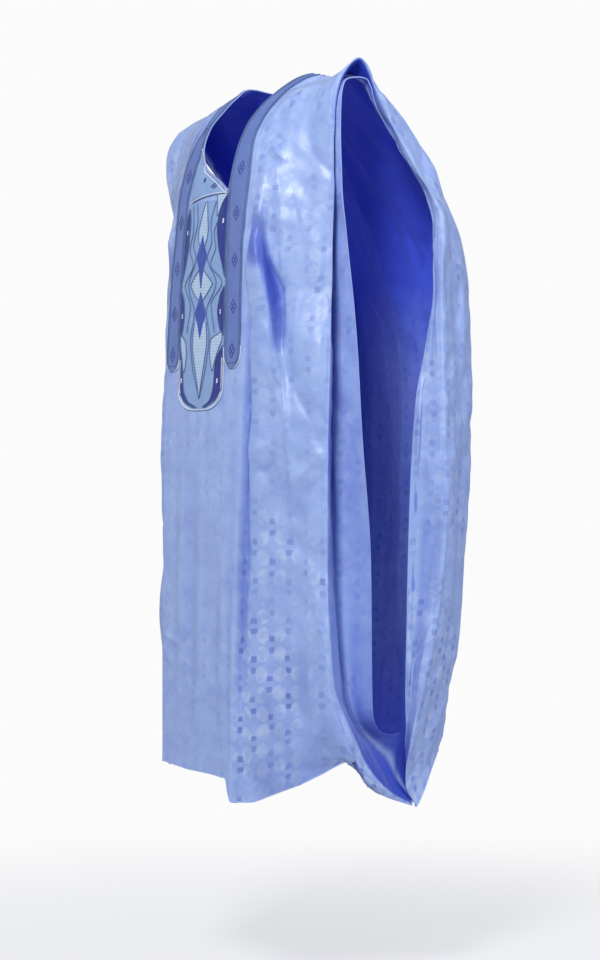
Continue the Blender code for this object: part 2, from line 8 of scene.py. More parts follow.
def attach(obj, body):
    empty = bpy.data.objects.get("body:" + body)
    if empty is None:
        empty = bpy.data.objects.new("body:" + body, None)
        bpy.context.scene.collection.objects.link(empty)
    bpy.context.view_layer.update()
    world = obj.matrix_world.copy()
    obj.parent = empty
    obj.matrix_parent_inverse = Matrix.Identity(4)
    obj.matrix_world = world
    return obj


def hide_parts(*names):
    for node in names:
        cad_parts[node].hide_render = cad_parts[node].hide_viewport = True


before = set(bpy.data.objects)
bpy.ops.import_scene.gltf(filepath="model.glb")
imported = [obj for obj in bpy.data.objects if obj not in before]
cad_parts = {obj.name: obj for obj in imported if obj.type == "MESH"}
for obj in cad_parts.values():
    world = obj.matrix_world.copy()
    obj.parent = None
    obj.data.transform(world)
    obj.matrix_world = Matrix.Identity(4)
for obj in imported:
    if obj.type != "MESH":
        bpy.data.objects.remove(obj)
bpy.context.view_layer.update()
print("frame loaded")

# Grand boubou robe in starched damask. Metres, +Z up. The wearer faces -Y, the wearer's left is +X.
mm = 0.001

camera = {
    "place": (3.7166, -2.5377, -0.67),
    "turn": (90, 0, 55),      # degrees
    "lens": 101.25,           # on a 36 mm sensor along the picture's long side
}
cameraData = bpy.data.cameras.new("camera")
cameraData.lens = camera["lens"]
cameraData.sensor_width = 36
cameraData.clip_end = 60
cameraObject = bpy.data.objects.new("camera", cameraData)
cameraObject.location = camera["place"]
cameraObject.rotation_euler = [math.radians(a) for a in camera["turn"]]
bpy.context.scene.collection.objects.link(cameraObject)
bpy.context.scene.camera = cameraObject


# The form of the cloth: the ribs of its solids, in mm, as (distance down, x, y, z). Only the left free
# edge stands higher than in the solids, from the shoulder to 85 down.
# Ribs of the front, from the middle out to the free edge, wearer's left
frontLeft = {
    "inner": ((0, 90, 30, -2), (14, 80, 8, -10), (32, 70, -18, -28), (56, 59, -51, -56),
              (85, 56, -75, -85), (120, 57, -94, -120), (157, 57, -107, -157),
              (200, 56, -116, -199), (290, 56, -127, -290), (420, 56, -131, -420),
              (600, 56, -137, -600), (800, 56, -141, -795), (1000, 56, -143, -975),
              (1200, 56, -144, -1147)),
    "corner": ((0, 112, 34, -8), (14, 108, 16, -11), (32, 103, -8, -23), (56, 97, -38, -49),
               (85, 97, -68, -83), (120, 101, -90, -119), (157, 112, -104, -157),
               (200, 118, -113, -200), (290, 120, -123, -290), (420, 117, -127, -420),
               (600, 115, -133, -600), (800, 112, -140, -797), (1000, 108, -144, -990),
               (1200, 105, -146, -1187)),
    "recess": ((0, 118, 34, -10), (56, 104, -40, -47), (120, 110, -86, -118),
               (200, 126, -108, -199), (290, 127, -115, -290), (420, 121, -108, -420),
               (600, 119, -113, -600), (800, 116, -120, -797), (1000, 112, -125, -990),
               (1200, 110, -129, -1187)),
    "crest": ((0, 126, 34, -12), (56, 114, -38, -47), (120, 121, -81, -118),
              (200, 138, -103, -199), (290, 140, -113, -290), (420, 141, -117, -420),
              (600, 139, -121, -600), (800, 136, -124, -797), (1000, 132, -121, -990),
              (1200, 129, -114, -1185)),
    "seam": ((0, 158, 33, -16), (14, 158, 20, -19), (32, 159, -4, -28), (56, 161, -28, -49),
             (85, 164, -46, -81), (120, 168, -58, -118), (200, 178, -68, -199),
             (290, 186, -74, -290), (420, 192, -78, -420), (600, 198, -82, -600),
             (800, 202, -83, -797), (1000, 203, -82, -985), (1200, 198, -76, -1155)),
    "crease": ((0, 195, 30, 2), (14, 197, 14, -10), (32, 198, -10, -29), (56, 199, -26, -53),
               (85, 200, -33, -85), (120, 203, -38, -119), (200, 208, -43, -200),
               (290, 214, -50, -290), (420, 221, -56, -420), (600, 228, -63, -600),
               (800, 233, -67, -795), (890, 236, -66, -882), (950, 240, -63, -935),
               (1000, 245, -58, -980), (1040, 247, -54, -1018), (1080, 247, -46, -1055),
               (1120, 245, -36, -1083), (1160, 243, -25, -1104), (1200, 240, -12, -1116)),
    "ridge": ((0, 225, 26, 12), (14, 224, 4, -6), (32, 222, -11, -30), (56, 222, -20, -56),
              (85, 222, -23, -86), (120, 222, -24, -120), (200, 225, -26, -200),
              (290, 229, -31, -290), (420, 236, -40, -420), (600, 242, -50, -600),
              (800, 246, -55, -795), (890, 248, -55, -890), (950, 249, -51, -950),
              (1000, 250, -44, -1000), (1040, 250, -27, -1040), (1080, 246, -1, -1086),
              (1120, 236, 36, -1137), (1160, 222, 85, -1174), (1200, 205, 146, -1202)),
    "valley": ((0, 178, 27, -14), (14, 182, 8, -24), (32, 187, -6, -45), (56, 190, -15, -66),
               (85, 191, -18, -92), (120, 192, -19, -122), (200, 193, -15, -200),
               (290, 191, -12, -290), (420, 189, -10, -420), (600, 187, -8, -600),
               (800, 190, -4, -797), (890, 194, 0, -892), (950, 198, 4, -960),
               (1000, 203, 12, -1025), (1040, 206, 30, -1068), (1080, 203, 60, -1102),
               (1120, 200, 92, -1132), (1160, 196, 118, -1166), (1200, 196, 146, -1195)),
    "edge": ((0, 223, 27, -24), (14, 223, 12, -25), (32, 223, -4, -33), (56, 222, -10, -58),
             (85, 222, -11, -90), (120, 223, -12, -124), (200, 226, -12, -200),
             (290, 230, -4, -290), (420, 235, 8, -420), (600, 240, 18, -600),
             (800, 243, 33, -800), (890, 243, 35, -898), (950, 243, 36, -985),
             (1000, 242, 39, -1046), (1040, 232, 63, -1076), (1080, 212, 101, -1083),
             (1120, 196, 131, -1080), (1160, 190, 143, -1140), (1200, 195, 153, -1198)),
}

# Ribs of the back, from the middle out to the free edge, wearer's left
backLeft = {
    "inner": ((0, 90, 30, -2), (14, 80, 56, -10), (32, 50, 76, -19), (56, 0, 87, -28),
              (85, 0, 108, -63), (120, 0, 135, -105), (157, 0, 160, -151), (200, 0, 186, -199),
              (290, 0, 229, -290), (420, 0, 262, -420), (540, 0, 272, -540), (700, 0, 273, -700),
              (866, 0, 269, -862), (1000, 0, 263, -988), (1200, 0, 254, -1163)),
    "seam": ((0, 158, 33, -16), (14, 158, 47, -22), (32, 156, 64, -35), (56, 153, 91, -57),
             (85, 150, 122, -86), (120, 146, 152, -121), (157, 142, 180, -158),
             (200, 137, 209, -200), (245, 132, 235, -245), (290, 128, 255, -290),
             (350, 124, 271, -350), (420, 121, 280, -420), (540, 118, 285, -540),
             (700, 116, 283, -700), (866, 114, 277, -862), (1000, 112, 270, -986),
             (1200, 110, 256, -1152)),
    "crease": ((0, 195, 30, 2), (14, 198, 49, -8), (32, 201, 72, -28), (56, 203, 101, -55),
               (85, 204, 132, -85), (120, 202, 164, -121), (157, 197, 193, -158),
               (200, 190, 221, -200), (245, 183, 248, -245), (290, 176, 270, -290),
               (350, 171, 286, -350), (420, 168, 294, -420), (540, 166, 298, -540),
               (650, 166, 294, -650), (770, 166, 286, -770), (870, 166, 279, -868),
               (950, 164, 269, -945), (1000, 163, 259, -988), (1080, 163, 246, -1050),
               (1200, 161, 230, -1120)),
    "ridge": ((0, 225, 26, 12), (14, 225, 40, -5), (32, 225, 51, -31), (56, 225, 64, -56),
              (85, 226, 82, -87), (120, 227, 105, -122), (157, 228, 129, -157),
              (200, 231, 160, -199), (245, 232, 181, -245), (350, 232, 181, -350),
              (540, 233, 187, -540), (700, 234, 190, -700), (866, 232, 182, -866),
              (950, 228, 163, -950), (1000, 226, 152, -1003), (1040, 222, 142, -1050),
              (1080, 218, 133, -1098), (1120, 212, 127, -1140), (1160, 206, 131, -1172),
              (1200, 199, 158, -1206)),
    "valley": ((0, 178, 27, -14), (14, 184, 43, -26), (32, 192, 58, -47), (56, 200, 73, -68),
               (85, 207, 90, -94), (120, 213, 111, -125), (157, 219, 135, -159),
               (200, 221, 166, -201), (245, 222, 186, -246), (350, 221, 185, -350),
               (450, 220, 177, -450), (540, 219, 165, -540), (700, 217, 160, -700),
               (866, 213, 157, -866),
               (1000, 209, 146, -1003), (1080, 207, 138, -1088), (1120, 203, 135, -1122),
               (1160, 198, 141, -1162), (1200, 196, 161, -1203)),
    "edge": ((0, 223, 27, -24), (14, 223, 38, -25), (32, 223, 46, -36), (56, 217, 60, -62),
             (85, 213, 84, -93), (120, 211, 113, -127), (157, 211, 139, -161),
             (200, 212, 169, -202), (245, 213, 189, -247), (350, 212, 187, -350),
             (450, 210, 170, -450), (540, 208, 151, -540), (700, 205, 141, -700),
             (866, 203, 137, -866),
             (1000, 200, 136, -1003), (1080, 198, 139, -1075), (1120, 194, 141, -1100),
             (1160, 188, 149, -1150), (1200, 190, 161, -1198)),
}

# The right shoulder hangs low over the upper arm; below it the right side mirrors the left.
frontRight = {
    "inner": ((0, -90, 30, -6), (14, -80, 8, -12), (32, -70, -18, -29), (56, -60, -50, -56),
              (85, -52, -79, -85), (120, -45, -97, -120), (157, -20, -107, -157),
              (178, 20, -112, -178), (200, 56, -116, -199)),
    "middle": ((0, -98, 31, -9), (32, -84, -13, -28), (85, -72, -73, -84), (120, -67, -94, -120),
               (157, -48, -109, -157), (178, -25, -115, -178), (200, -22, -120, -200),
               (290, -22, -130, -290), (420, -22, -135, -420), (600, -22, -139, -600),
               (800, -22, -141, -795), (1000, -22, -143, -975), (1200, -22, -144, -1144)),
    "corner": ((0, -112, 28, -15), (14, -108, 14, -18), (32, -103, -8, -30), (56, -97, -38, -52),
               (85, -93, -67, -84), (120, -92, -91, -120), (157, -94, -106, -157),
               (200, -97, -115, -200), (252, -98, -120, -252), (370, -103, -128, -370),
               (540, -107, -136, -540), (790, -108, -139, -787), (1000, -108, -141, -970),
               (1200, -107, -142, -1137)),
    "recess": ((0, -118, 27, -17), (56, -104, -39, -52), (120, -101, -87, -119),
               (200, -106, -108, -199), (290, -109, -112, -290), (420, -110, -110, -420),
               (600, -113, -114, -600), (800, -113, -118, -795), (1200, -112, -124, -1139)),
    "crest": ((0, -126, 26, -20), (56, -114, -37, -53), (120, -113, -82, -119),
              (200, -121, -102, -199), (290, -126, -110, -290), (420, -131, -115, -420),
              (600, -134, -119, -600), (800, -133, -122, -797), (1200, -130, -116, -1142)),
    "seam": ((0, -158, 22, -27), (14, -158, 8, -31), (32, -158, -10, -43), (56, -158, -31, -62),
             (85, -159, -49, -88), (120, -160, -60, -120), (157, -163, -66, -158),
             (200, -168, -70, -200), (290, -178, -74, -290)),
    "crease": ((0, -215, 16, -41), (14, -217, 5, -47), (32, -219, -9, -61), (56, -221, -23, -82),
               (85, -222, -33, -107), (120, -221, -38, -136), (157, -218, -42, -170),
               (200, -212, -45, -208), (245, -211, -48, -250), (290, -213, -51, -291)),
    "ridge": ((0, -253, 10, -54), (14, -262, -4, -62), (32, -269, -15, -77), (56, -273, -24, -97),
              (85, -274, -28, -122), (120, -271, -28, -150), (157, -263, -27, -183),
              (200, -248, -28, -220), (245, -236, -31, -255), (290, -231, -33, -294)),
    "valley": ((0, -214, 11, -80), (14, -219, 2, -87), (32, -225, -5, -100), (56, -228, -11, -119),
               (85, -228, -14, -145), (120, -227, -15, -169), (157, -221, -15, -197),
               (200, -209, -14, -229), (245, -198, -13, -260), (290, -193, -12, -295)),
    "edge": ((0, -250, 11, -94), (14, -254, 3, -101), (32, -259, -4, -114), (56, -262, -10, -132),
             (85, -262, -14, -154), (120, -260, -15, -177), (157, -254, -14, -203),
             (200, -243, -11, -233), (245, -234, -7, -263), (290, -231, -4, -297)),
}

backRight = {
    "inner": ((0, -90, 30, -6), (14, -80, 55, -12), (32, -50, 76, -20), (56, 0, 87, -28)),
    "seam": ((0, -158, 22, -27), (14, -158, 38, -34), (32, -156, 57, -48), (56, -153, 85, -68),
             (85, -150, 117, -94), (120, -146, 148, -126), (157, -142, 177, -161),
             (200, -137, 206, -202), (290, -128, 254, -291)),
    "crease": ((0, -215, 16, -41), (14, -216, 32, -52), (32, -216, 53, -72), (56, -214, 82, -94),
               (85, -210, 114, -120), (120, -205, 146, -149), (157, -198, 177, -179),
               (200, -190, 209, -213), (245, -182, 239, -250), (290, -175, 263, -292)),
    "ridge": ((0, -253, 10, -54), (14, -258, 25, -66), (32, -262, 39, -84), (56, -262, 55, -104),
              (85, -260, 75, -127), (120, -255, 98, -154), (157, -248, 122, -184),
              (200, -240, 149, -216), (245, -233, 169, -252), (290, -228, 181, -293)),
    "valley": ((0, -214, 11, -80), (14, -220, 25, -88), (32, -227, 39, -102), (56, -232, 55, -121),
               (85, -233, 75, -145), (120, -233, 97, -169), (157, -234, 119, -196),
               (200, -228, 141, -223), (245, -224, 158, -256), (290, -221, 166, -294)),
    "edge": ((0, -250, 11, -94), (14, -250, 24, -100), (32, -249, 37, -113), (56, -247, 52, -131),
             (85, -242, 71, -152), (120, -235, 91, -175), (157, -227, 110, -200),
             (200, -220, 131, -228), (245, -215, 148, -258), (290, -212, 155, -295)),
}

# Soft crease that crosses the flank: (distance down, share of the way crest to seam, depth mm)
flankCrease = ((0, 0.30, 0.0), (200, 0.15, 0.5), (290, 0.18, 6.0), (350, 0.38, 8.0),
               (420, 0.58, 8.0), (500, 0.70, 6.0), (600, 0.74, 3.5), (800, 0.74, 2.0),
               (1200, 0.74, 1.0))

# Inner edges of the two embroidered strips: (distance down, x) in mm
stripInnerLeft = ((0, 91), (14, 81), (32, 71), (56, 60), (85, 57), (120, 58), (178, 58),
                  (200, 58.5), (245, 64), (300, 70), (600, 70))
stripInnerRight = ((0, -91), (14, -81), (32, -71), (56, -61), (85, -54), (120, -48),
                   (157, -51), (200, -58), (245, -60), (600, -62))
# Slanting neck edge over the flap: (distance down, x) in mm
neckSlant = ((120, -45), (157, -20), (178, 20), (200, 56))
# Band round the back of the neck: (distance down, inner x, outer x) in mm
neckband = ((1.5, 91, 110), (14, 81, 104), (23, 66, 98), (32, 52, 91), (44, 28, 78),
            (57, 0, 58), (66, 0, 40), (76, 0, 14))

cloth = {
    "foldReach": 0.0045,      # how far a pressed fold takes to turn
    "cell": 0.0048,           # across, the widest the mesh steps
    "thickness": 0.0007,
    "creaseGain": 1.5,        # how much deeper the creases are than their tables say
    "rightShare": 0.96,       # the wearer's right hangs a little closer
    "rightBack": 4,
}
down = np.unique(np.concatenate([np.arange(0, 60, 3.0), np.arange(60, 300, 4.0),
                                 np.arange(300, 1200.5, 5.0)]))
shoulder = len(down) - 1      # row of the shoulder line once front and back are joined


def hermite(u, first, last, firstSlope, lastSlope, span):
    # smooth curve between two values that have a slope each
    return ((2 * u ** 3 - 3 * u ** 2 + 1) * first + (u ** 3 - 2 * u ** 2 + u) * span * firstSlope
            + (3 * u ** 2 - 2 * u ** 3) * last + (u ** 3 - u ** 2) * span * lastSlope)


def follow(table, at=down):
    # smooth curve through a table's rows that never overshoots them
    data = np.array(table, float)
    knots, values = data[:, 0], data[:, 1:]
    steps = np.diff(knots)[:, None]
    rates = np.diff(values, axis=0) / steps
    slope = np.zeros_like(values)
    slope[0], slope[-1] = rates[0], rates[-1]
    w1, w2 = 2 * steps[1:] + steps[:-1], steps[1:] + 2 * steps[:-1]
    before, after = rates[:-1], rates[1:]
    same = before * after > 0
    safe = np.where(same, w1 / np.where(same, before, 1) + w2 / np.where(same, after, 1), 1)
    slope[1:-1] = np.where(same, (w1 + w2) / safe, 0)
    i = np.clip(np.searchsorted(knots, at) - 1, 0, len(knots) - 2)
    span = (knots[i + 1] - knots[i])[:, None]
    u = np.minimum((np.asarray(at)[:, None] - knots[i][:, None]) / span, 1)
    return hermite(u, values[i], values[i + 1], slope[i], slope[i + 1], span)


def mirrored(table):
    return tuple((d, -x * cloth["rightShare"], y + cloth["rightBack"], z) for d, x, y, z in table)


def completed(own, left):
    # a right rib: its own shoulder rows, then the left rib mirrored below them
    return own + tuple(row for row in mirrored(left) if row[0] > own[-1][0] + 40)


def innerLine(own, left, join):
    return np.where(down[:, None] >= join, follow(left), follow(own)) * mm


def spread(a, b, count):
    return [a + (b - a) * (k + 1) / (count + 1) for k in range(count)]


def pressed(before, fold, after):
    # three points that turn the cloth round a pressed fold
    turned = []
    for side in (before, after):
        away = side - fold
        length = np.linalg.norm(away, axis=1, keepdims=True)
        turned.append(fold + away / length * np.minimum(cloth["foldReach"], 0.35 * length))
    return [turned[0], 0.25 * turned[0] + 0.5 * fold + 0.25 * turned[1], turned[1]]


def frontCentre(rib, left):
    inward = np.array([-0.6 if left else 0.6, 0.8, 0.0])
    share, depth = rib["flank"][:, :1], rib["flank"][:, 1:]
    crease = rib["crest"] + (rib["seam"] - rib["crest"]) * share + inward * depth * mm
    inner, corner = rib["inner"], rib["corner"]
    if left:
        near = inner + (corner - inner) * 0.70
        near[:, 2] += (inner[:, 2] - near[:, 2]) * 0.9 * np.clip((down - 950) / 250, 0, 1)
        flat = spread(inner, near, 2) + [near] + spread(near, corner, 1)
    else:
        flat = spread(inner, rib["middle"], 1) + [rib["middle"]] + spread(rib["middle"], corner, 2)
    row = [inner] + flat + pressed(flat[-1], corner, rib["recess"]) + [rib["recess"], rib["crest"]]
    return row + spread(rib["crest"], crease, 1) + [crease] + spread(crease, rib["seam"], 1) + [rib["seam"]]


def backCentre(rib):
    inner, seam = rib["inner"], rib["seam"]
    middle = inner + (seam - inner) * 0.5
    middle[:, 1] += 0.004 * np.clip((down - 56) / 200, 0, 1)
    return [inner] + spread(inner, middle, 5) + [middle] + spread(middle, seam, 6) + [seam]


def wing(rib, front):
    # from the seam over the pleat to the free edge
    seam, crease, ridge, valley, edge = (rib[n] for n in ("seam", "crease", "ridge", "valley", "edge"))
    between = spread(crease, ridge, 1)[0]
    if front:
        between[:, 2] -= 16 * mm * np.clip((down - 1040) / 160, 0, 1)
    row = [seam] + spread(seam, crease, 1) + [crease, between] + pressed(between, ridge, valley)
    row += spread(ridge, valley, 1)
    row += pressed(ridge, valley, edge) if front else spread(ridge + (valley - ridge) * 0.75, edge, 3)
    return row + spread(valley, edge, 1) + [edge]


def halfRobe(left):
    # one half as a grid of control points, front hem to back hem, centre to free edge
    ribs = {}
    for face, own, other in (("front", frontLeft if left else frontRight, frontLeft),
                             ("back", backLeft if left else backRight, backLeft)):
        ribs[face] = {}
        for name, table in own.items():
            if not left and (face == "back" or name in ("seam", "crease", "ridge", "valley", "edge")):
                table = completed(table, other[name])
            ribs[face][name] = follow(table) * mm
    if not left:
        ribs["front"]["inner"] = innerLine(frontRight["inner"], frontLeft["inner"], 200)
        ribs["back"]["inner"] = innerLine(backRight["inner"], backLeft["inner"], 56)
    ribs["front"]["flank"] = follow(flankCrease)
    front = np.stack(frontCentre(ribs["front"], left) + wing(ribs["front"], True)[1:], axis=1)
    back = np.stack(backCentre(ribs["back"]) + wing(ribs["back"], False)[1:], axis=1)
    return np.concatenate([front[::-1], back[1:]])


def refined(grid, counts):
    # more points across: a smooth curve through each row, straight where the row is straight
    step = np.linalg.norm(np.diff(grid, axis=1), axis=2, keepdims=True)
    slope = np.empty_like(grid)
    slope[:, 1:-1] = (grid[:, 2:] - grid[:, :-2]) / (step[:, 1:] + step[:, :-1])
    slope[:, :1] = (grid[:, 1:2] - grid[:, :1]) / step[:, :1]
    slope[:, -1:] = (grid[:, -1:] - grid[:, -2:-1]) / step[:, -1:]
    columns = []
    for c, count in enumerate(counts):
        for k in range(count):
            columns.append(hermite(k / count, grid[:, c], grid[:, c + 1], slope[:, c], slope[:, c + 1],
                                   step[:, c]))
    return np.stack(columns + [grid[:, -1]], axis=1)


def normalsOf(grid, left):
    across = np.gradient(grid, axis=1)
    along = np.gradient(grid, axis=0)
    normal = np.cross(across, along)
    normal /= np.linalg.norm(normal, axis=2, keepdims=True) + 1e-12
    return normal if left else -normal


rows = np.concatenate([down[::-1], down[1:]])                   # distance down of every row
isBack = np.arange(len(rows)) > shoulder
# Painted shade: the colour darkens in the folds and on the turned-in cloth, where shade falls:
# (face, first and last control point, soft edge in columns, rows of (distance down, share))
paintedFoldShade = (
    ("front", 8, 8, 3.5, ((400, 0), (540, 0.4), (900, 0.45), (1040, 0))),
    ("front", 19, 23, 1.6, ((0, 1), (30, 1), (60, 0.9), (640, 0.8), (800, 0.45), (1000, 0.45),
                            (1100, 0.9), (1200, 1))),
    ("front", 24, 25, 3.0, ((0, 0.5), (30, 0.2), (60, 0.05), (560, 0.08), (680, 0.22), (900, 0.32),
                            (980, 0.45), (1050, 0.8), (1200, 1))),
    ("front", 10, 16, 4.0, ((880, 0), (1060, 0.12), (1200, 0.2))),
    ("back", 19, 23, 1.6, ((0, 1), (30, 1), (60, 0.7), (120, 0.1), (1000, 0), (1100, 0.6), (1200, 0.9))),
    ("back", 20, 21, 1.5, ((680, 0), (780, 0.3), (1000, 0.3), (1080, 0.1))),
    ("back", 24, 25, 3.0, ((0, 0.4), (40, 0), (1060, 0), (1110, 0.5), (1200, 0.9))),
)
# Painted shade along folds turned from the light: (face and side, share, half width mm, (across, down) along
# it)
paintedFoldShadows = (("frontLeft", 0.9, 12, ((14, 234), (20, 272), (32, 312), (55, 362), (72, 405), (81, 470))),
             ("frontLeft", 0.85, 12, ((38, 320), (62, 372), (78, 440))),
             ("frontRight", 0.6, 9, ((20, 280), (34, 330), (58, 380), (74, 430), (82, 480))),
             ("frontRight", 0.7, 4, ((8, 70), (9, 120), (11, 190))),
             ("frontLeft", 0.3, 4, ((26, 128), (40, 148), (54, 160))))
# Painted shade on the inside of the cloth, by distance down the front and down the back
paintedInsideShade = {
    "front": ((0, 0.7), (300, 0.6), (600, 0.3), (1200, 0.3)),
    "back": ((0, 0.9), (60, 1.0), (330, 0.9), (480, 0.25), (620, 0.1), (950, 0.05), (1050, 0.6), (1200, 1.0)),
}
# How strongly the damask shows, partly as woven pattern and partly as painted sheen where its gloss catches
# the light: (face, first and last control point, rows of (distance down, strength))
figureAndSheenStrengths = (("front", 0, 6, ((0, 0.6), (200, 0.25), (1200, 0.2))),
           ("front", 7, 13, ((0, 0.55), (300, 0.6), (560, 0.4), (820, 0.7), (1000, 1.0), (1200, 1.15))),
           ("front", 14, 18, ((0, 0.55), (300, 0.6), (620, 0.45), (860, 0.8), (1000, 1.15), (1200, 1.1))),
           ("front", 19, 25, ((0, 0.5), (500, 0.4), (1200, 0.35))),
           ("back", 0, 18, ((0, 0.5), (300, 0.6), (700, 0.6), (1200, 0.8))),
           ("back", 19, 25, ((0, 0.4), (1200, 0.7))))
# Soft crumple everywhere: how many waves a metre across and down, and how high they are in mm
crumples = {"broad": 19, "broadDown": 6, "broadHigh": 1.5, "small": 34, "smallDown": 15, "smallHigh": 0.45}
# Long paper-like creases of the starch: (mm between creases, lean from upright in degrees, height mm)
paper = ((170, 22, 4.6), (118, -30, 3.2), (74, 34, 2.2), (52, -8, 1.5), (44, 68, 1.1))
# Flat facets between crisp lines, as starched cloth breaks: how many a metre across and down, how
# far they lean and bend, and how high their middles stand in mm
facets = {"across": 11.0, "down": 4.6, "lean": 0.24, "bend": 0.45, "height": 8.5, "flat": 0.75}
noise.seed_set(1)             # so that the facets are the same in every run
half = {}
control = {side: halfRobe(side == "left") for side in ("left", "right")}
for side, grid in control.items():
    length = np.linalg.norm(np.diff(grid, axis=1), axis=2).max(axis=0)
    counts = [max(2, int(math.ceil(x / cloth["cell"]))) for x in length]
    stops = np.concatenate([[0], np.cumsum(counts)])             # column of every control point
    points = refined(grid, counts)
    first, last = stops[9], stops[13]                            # even steps from the crest to the seam
    for row in points:
        part = row[first:last + 1].copy()
        run = np.concatenate([[0], np.cumsum(np.linalg.norm(np.diff(part, axis=0), axis=1))])
        even = np.linspace(0, run[-1], len(part))
        row[first:last + 1] = np.stack([np.interp(even, run, part[:, k]) for k in range(3)], axis=1)
    for turn in range(6):
        kept = points[:, first + 1:last]
        points[:, first + 1:last] = (points[:, first:last - 1] + 2 * kept + points[:, first + 2:last + 1]) / 4
    for turn in range(4):                                        # the cloth rounds over the shoulder
        near = slice(shoulder - 6, shoulder + 7)
        ahead = slice(shoulder - 5, shoulder + 8)
        behind = slice(shoulder - 7, shoulder + 6)
        points[near] = 0.5 * points[near] + 0.25 * (points[ahead] + points[behind])
    half[side] = {"points": points, "stops": stops}
print("form ready", half["left"]["points"].shape, half["right"]["points"].shape)


# Cloth coordinates: across (from the front corner fold, or the middle of the back) and down, in mm
for side, h in half.items():
    step = np.linalg.norm(np.diff(h["points"], axis=1), axis=2)
    arc = np.concatenate([np.zeros((len(rows), 1)), np.cumsum(step, axis=1)], axis=1) / mm
    start = np.where(isBack[:, None], 0, arc[:, h["stops"][6]][:, None])
    h["across"] = arc - start
    h["normals"] = normalsOf(h["points"], side == "left")
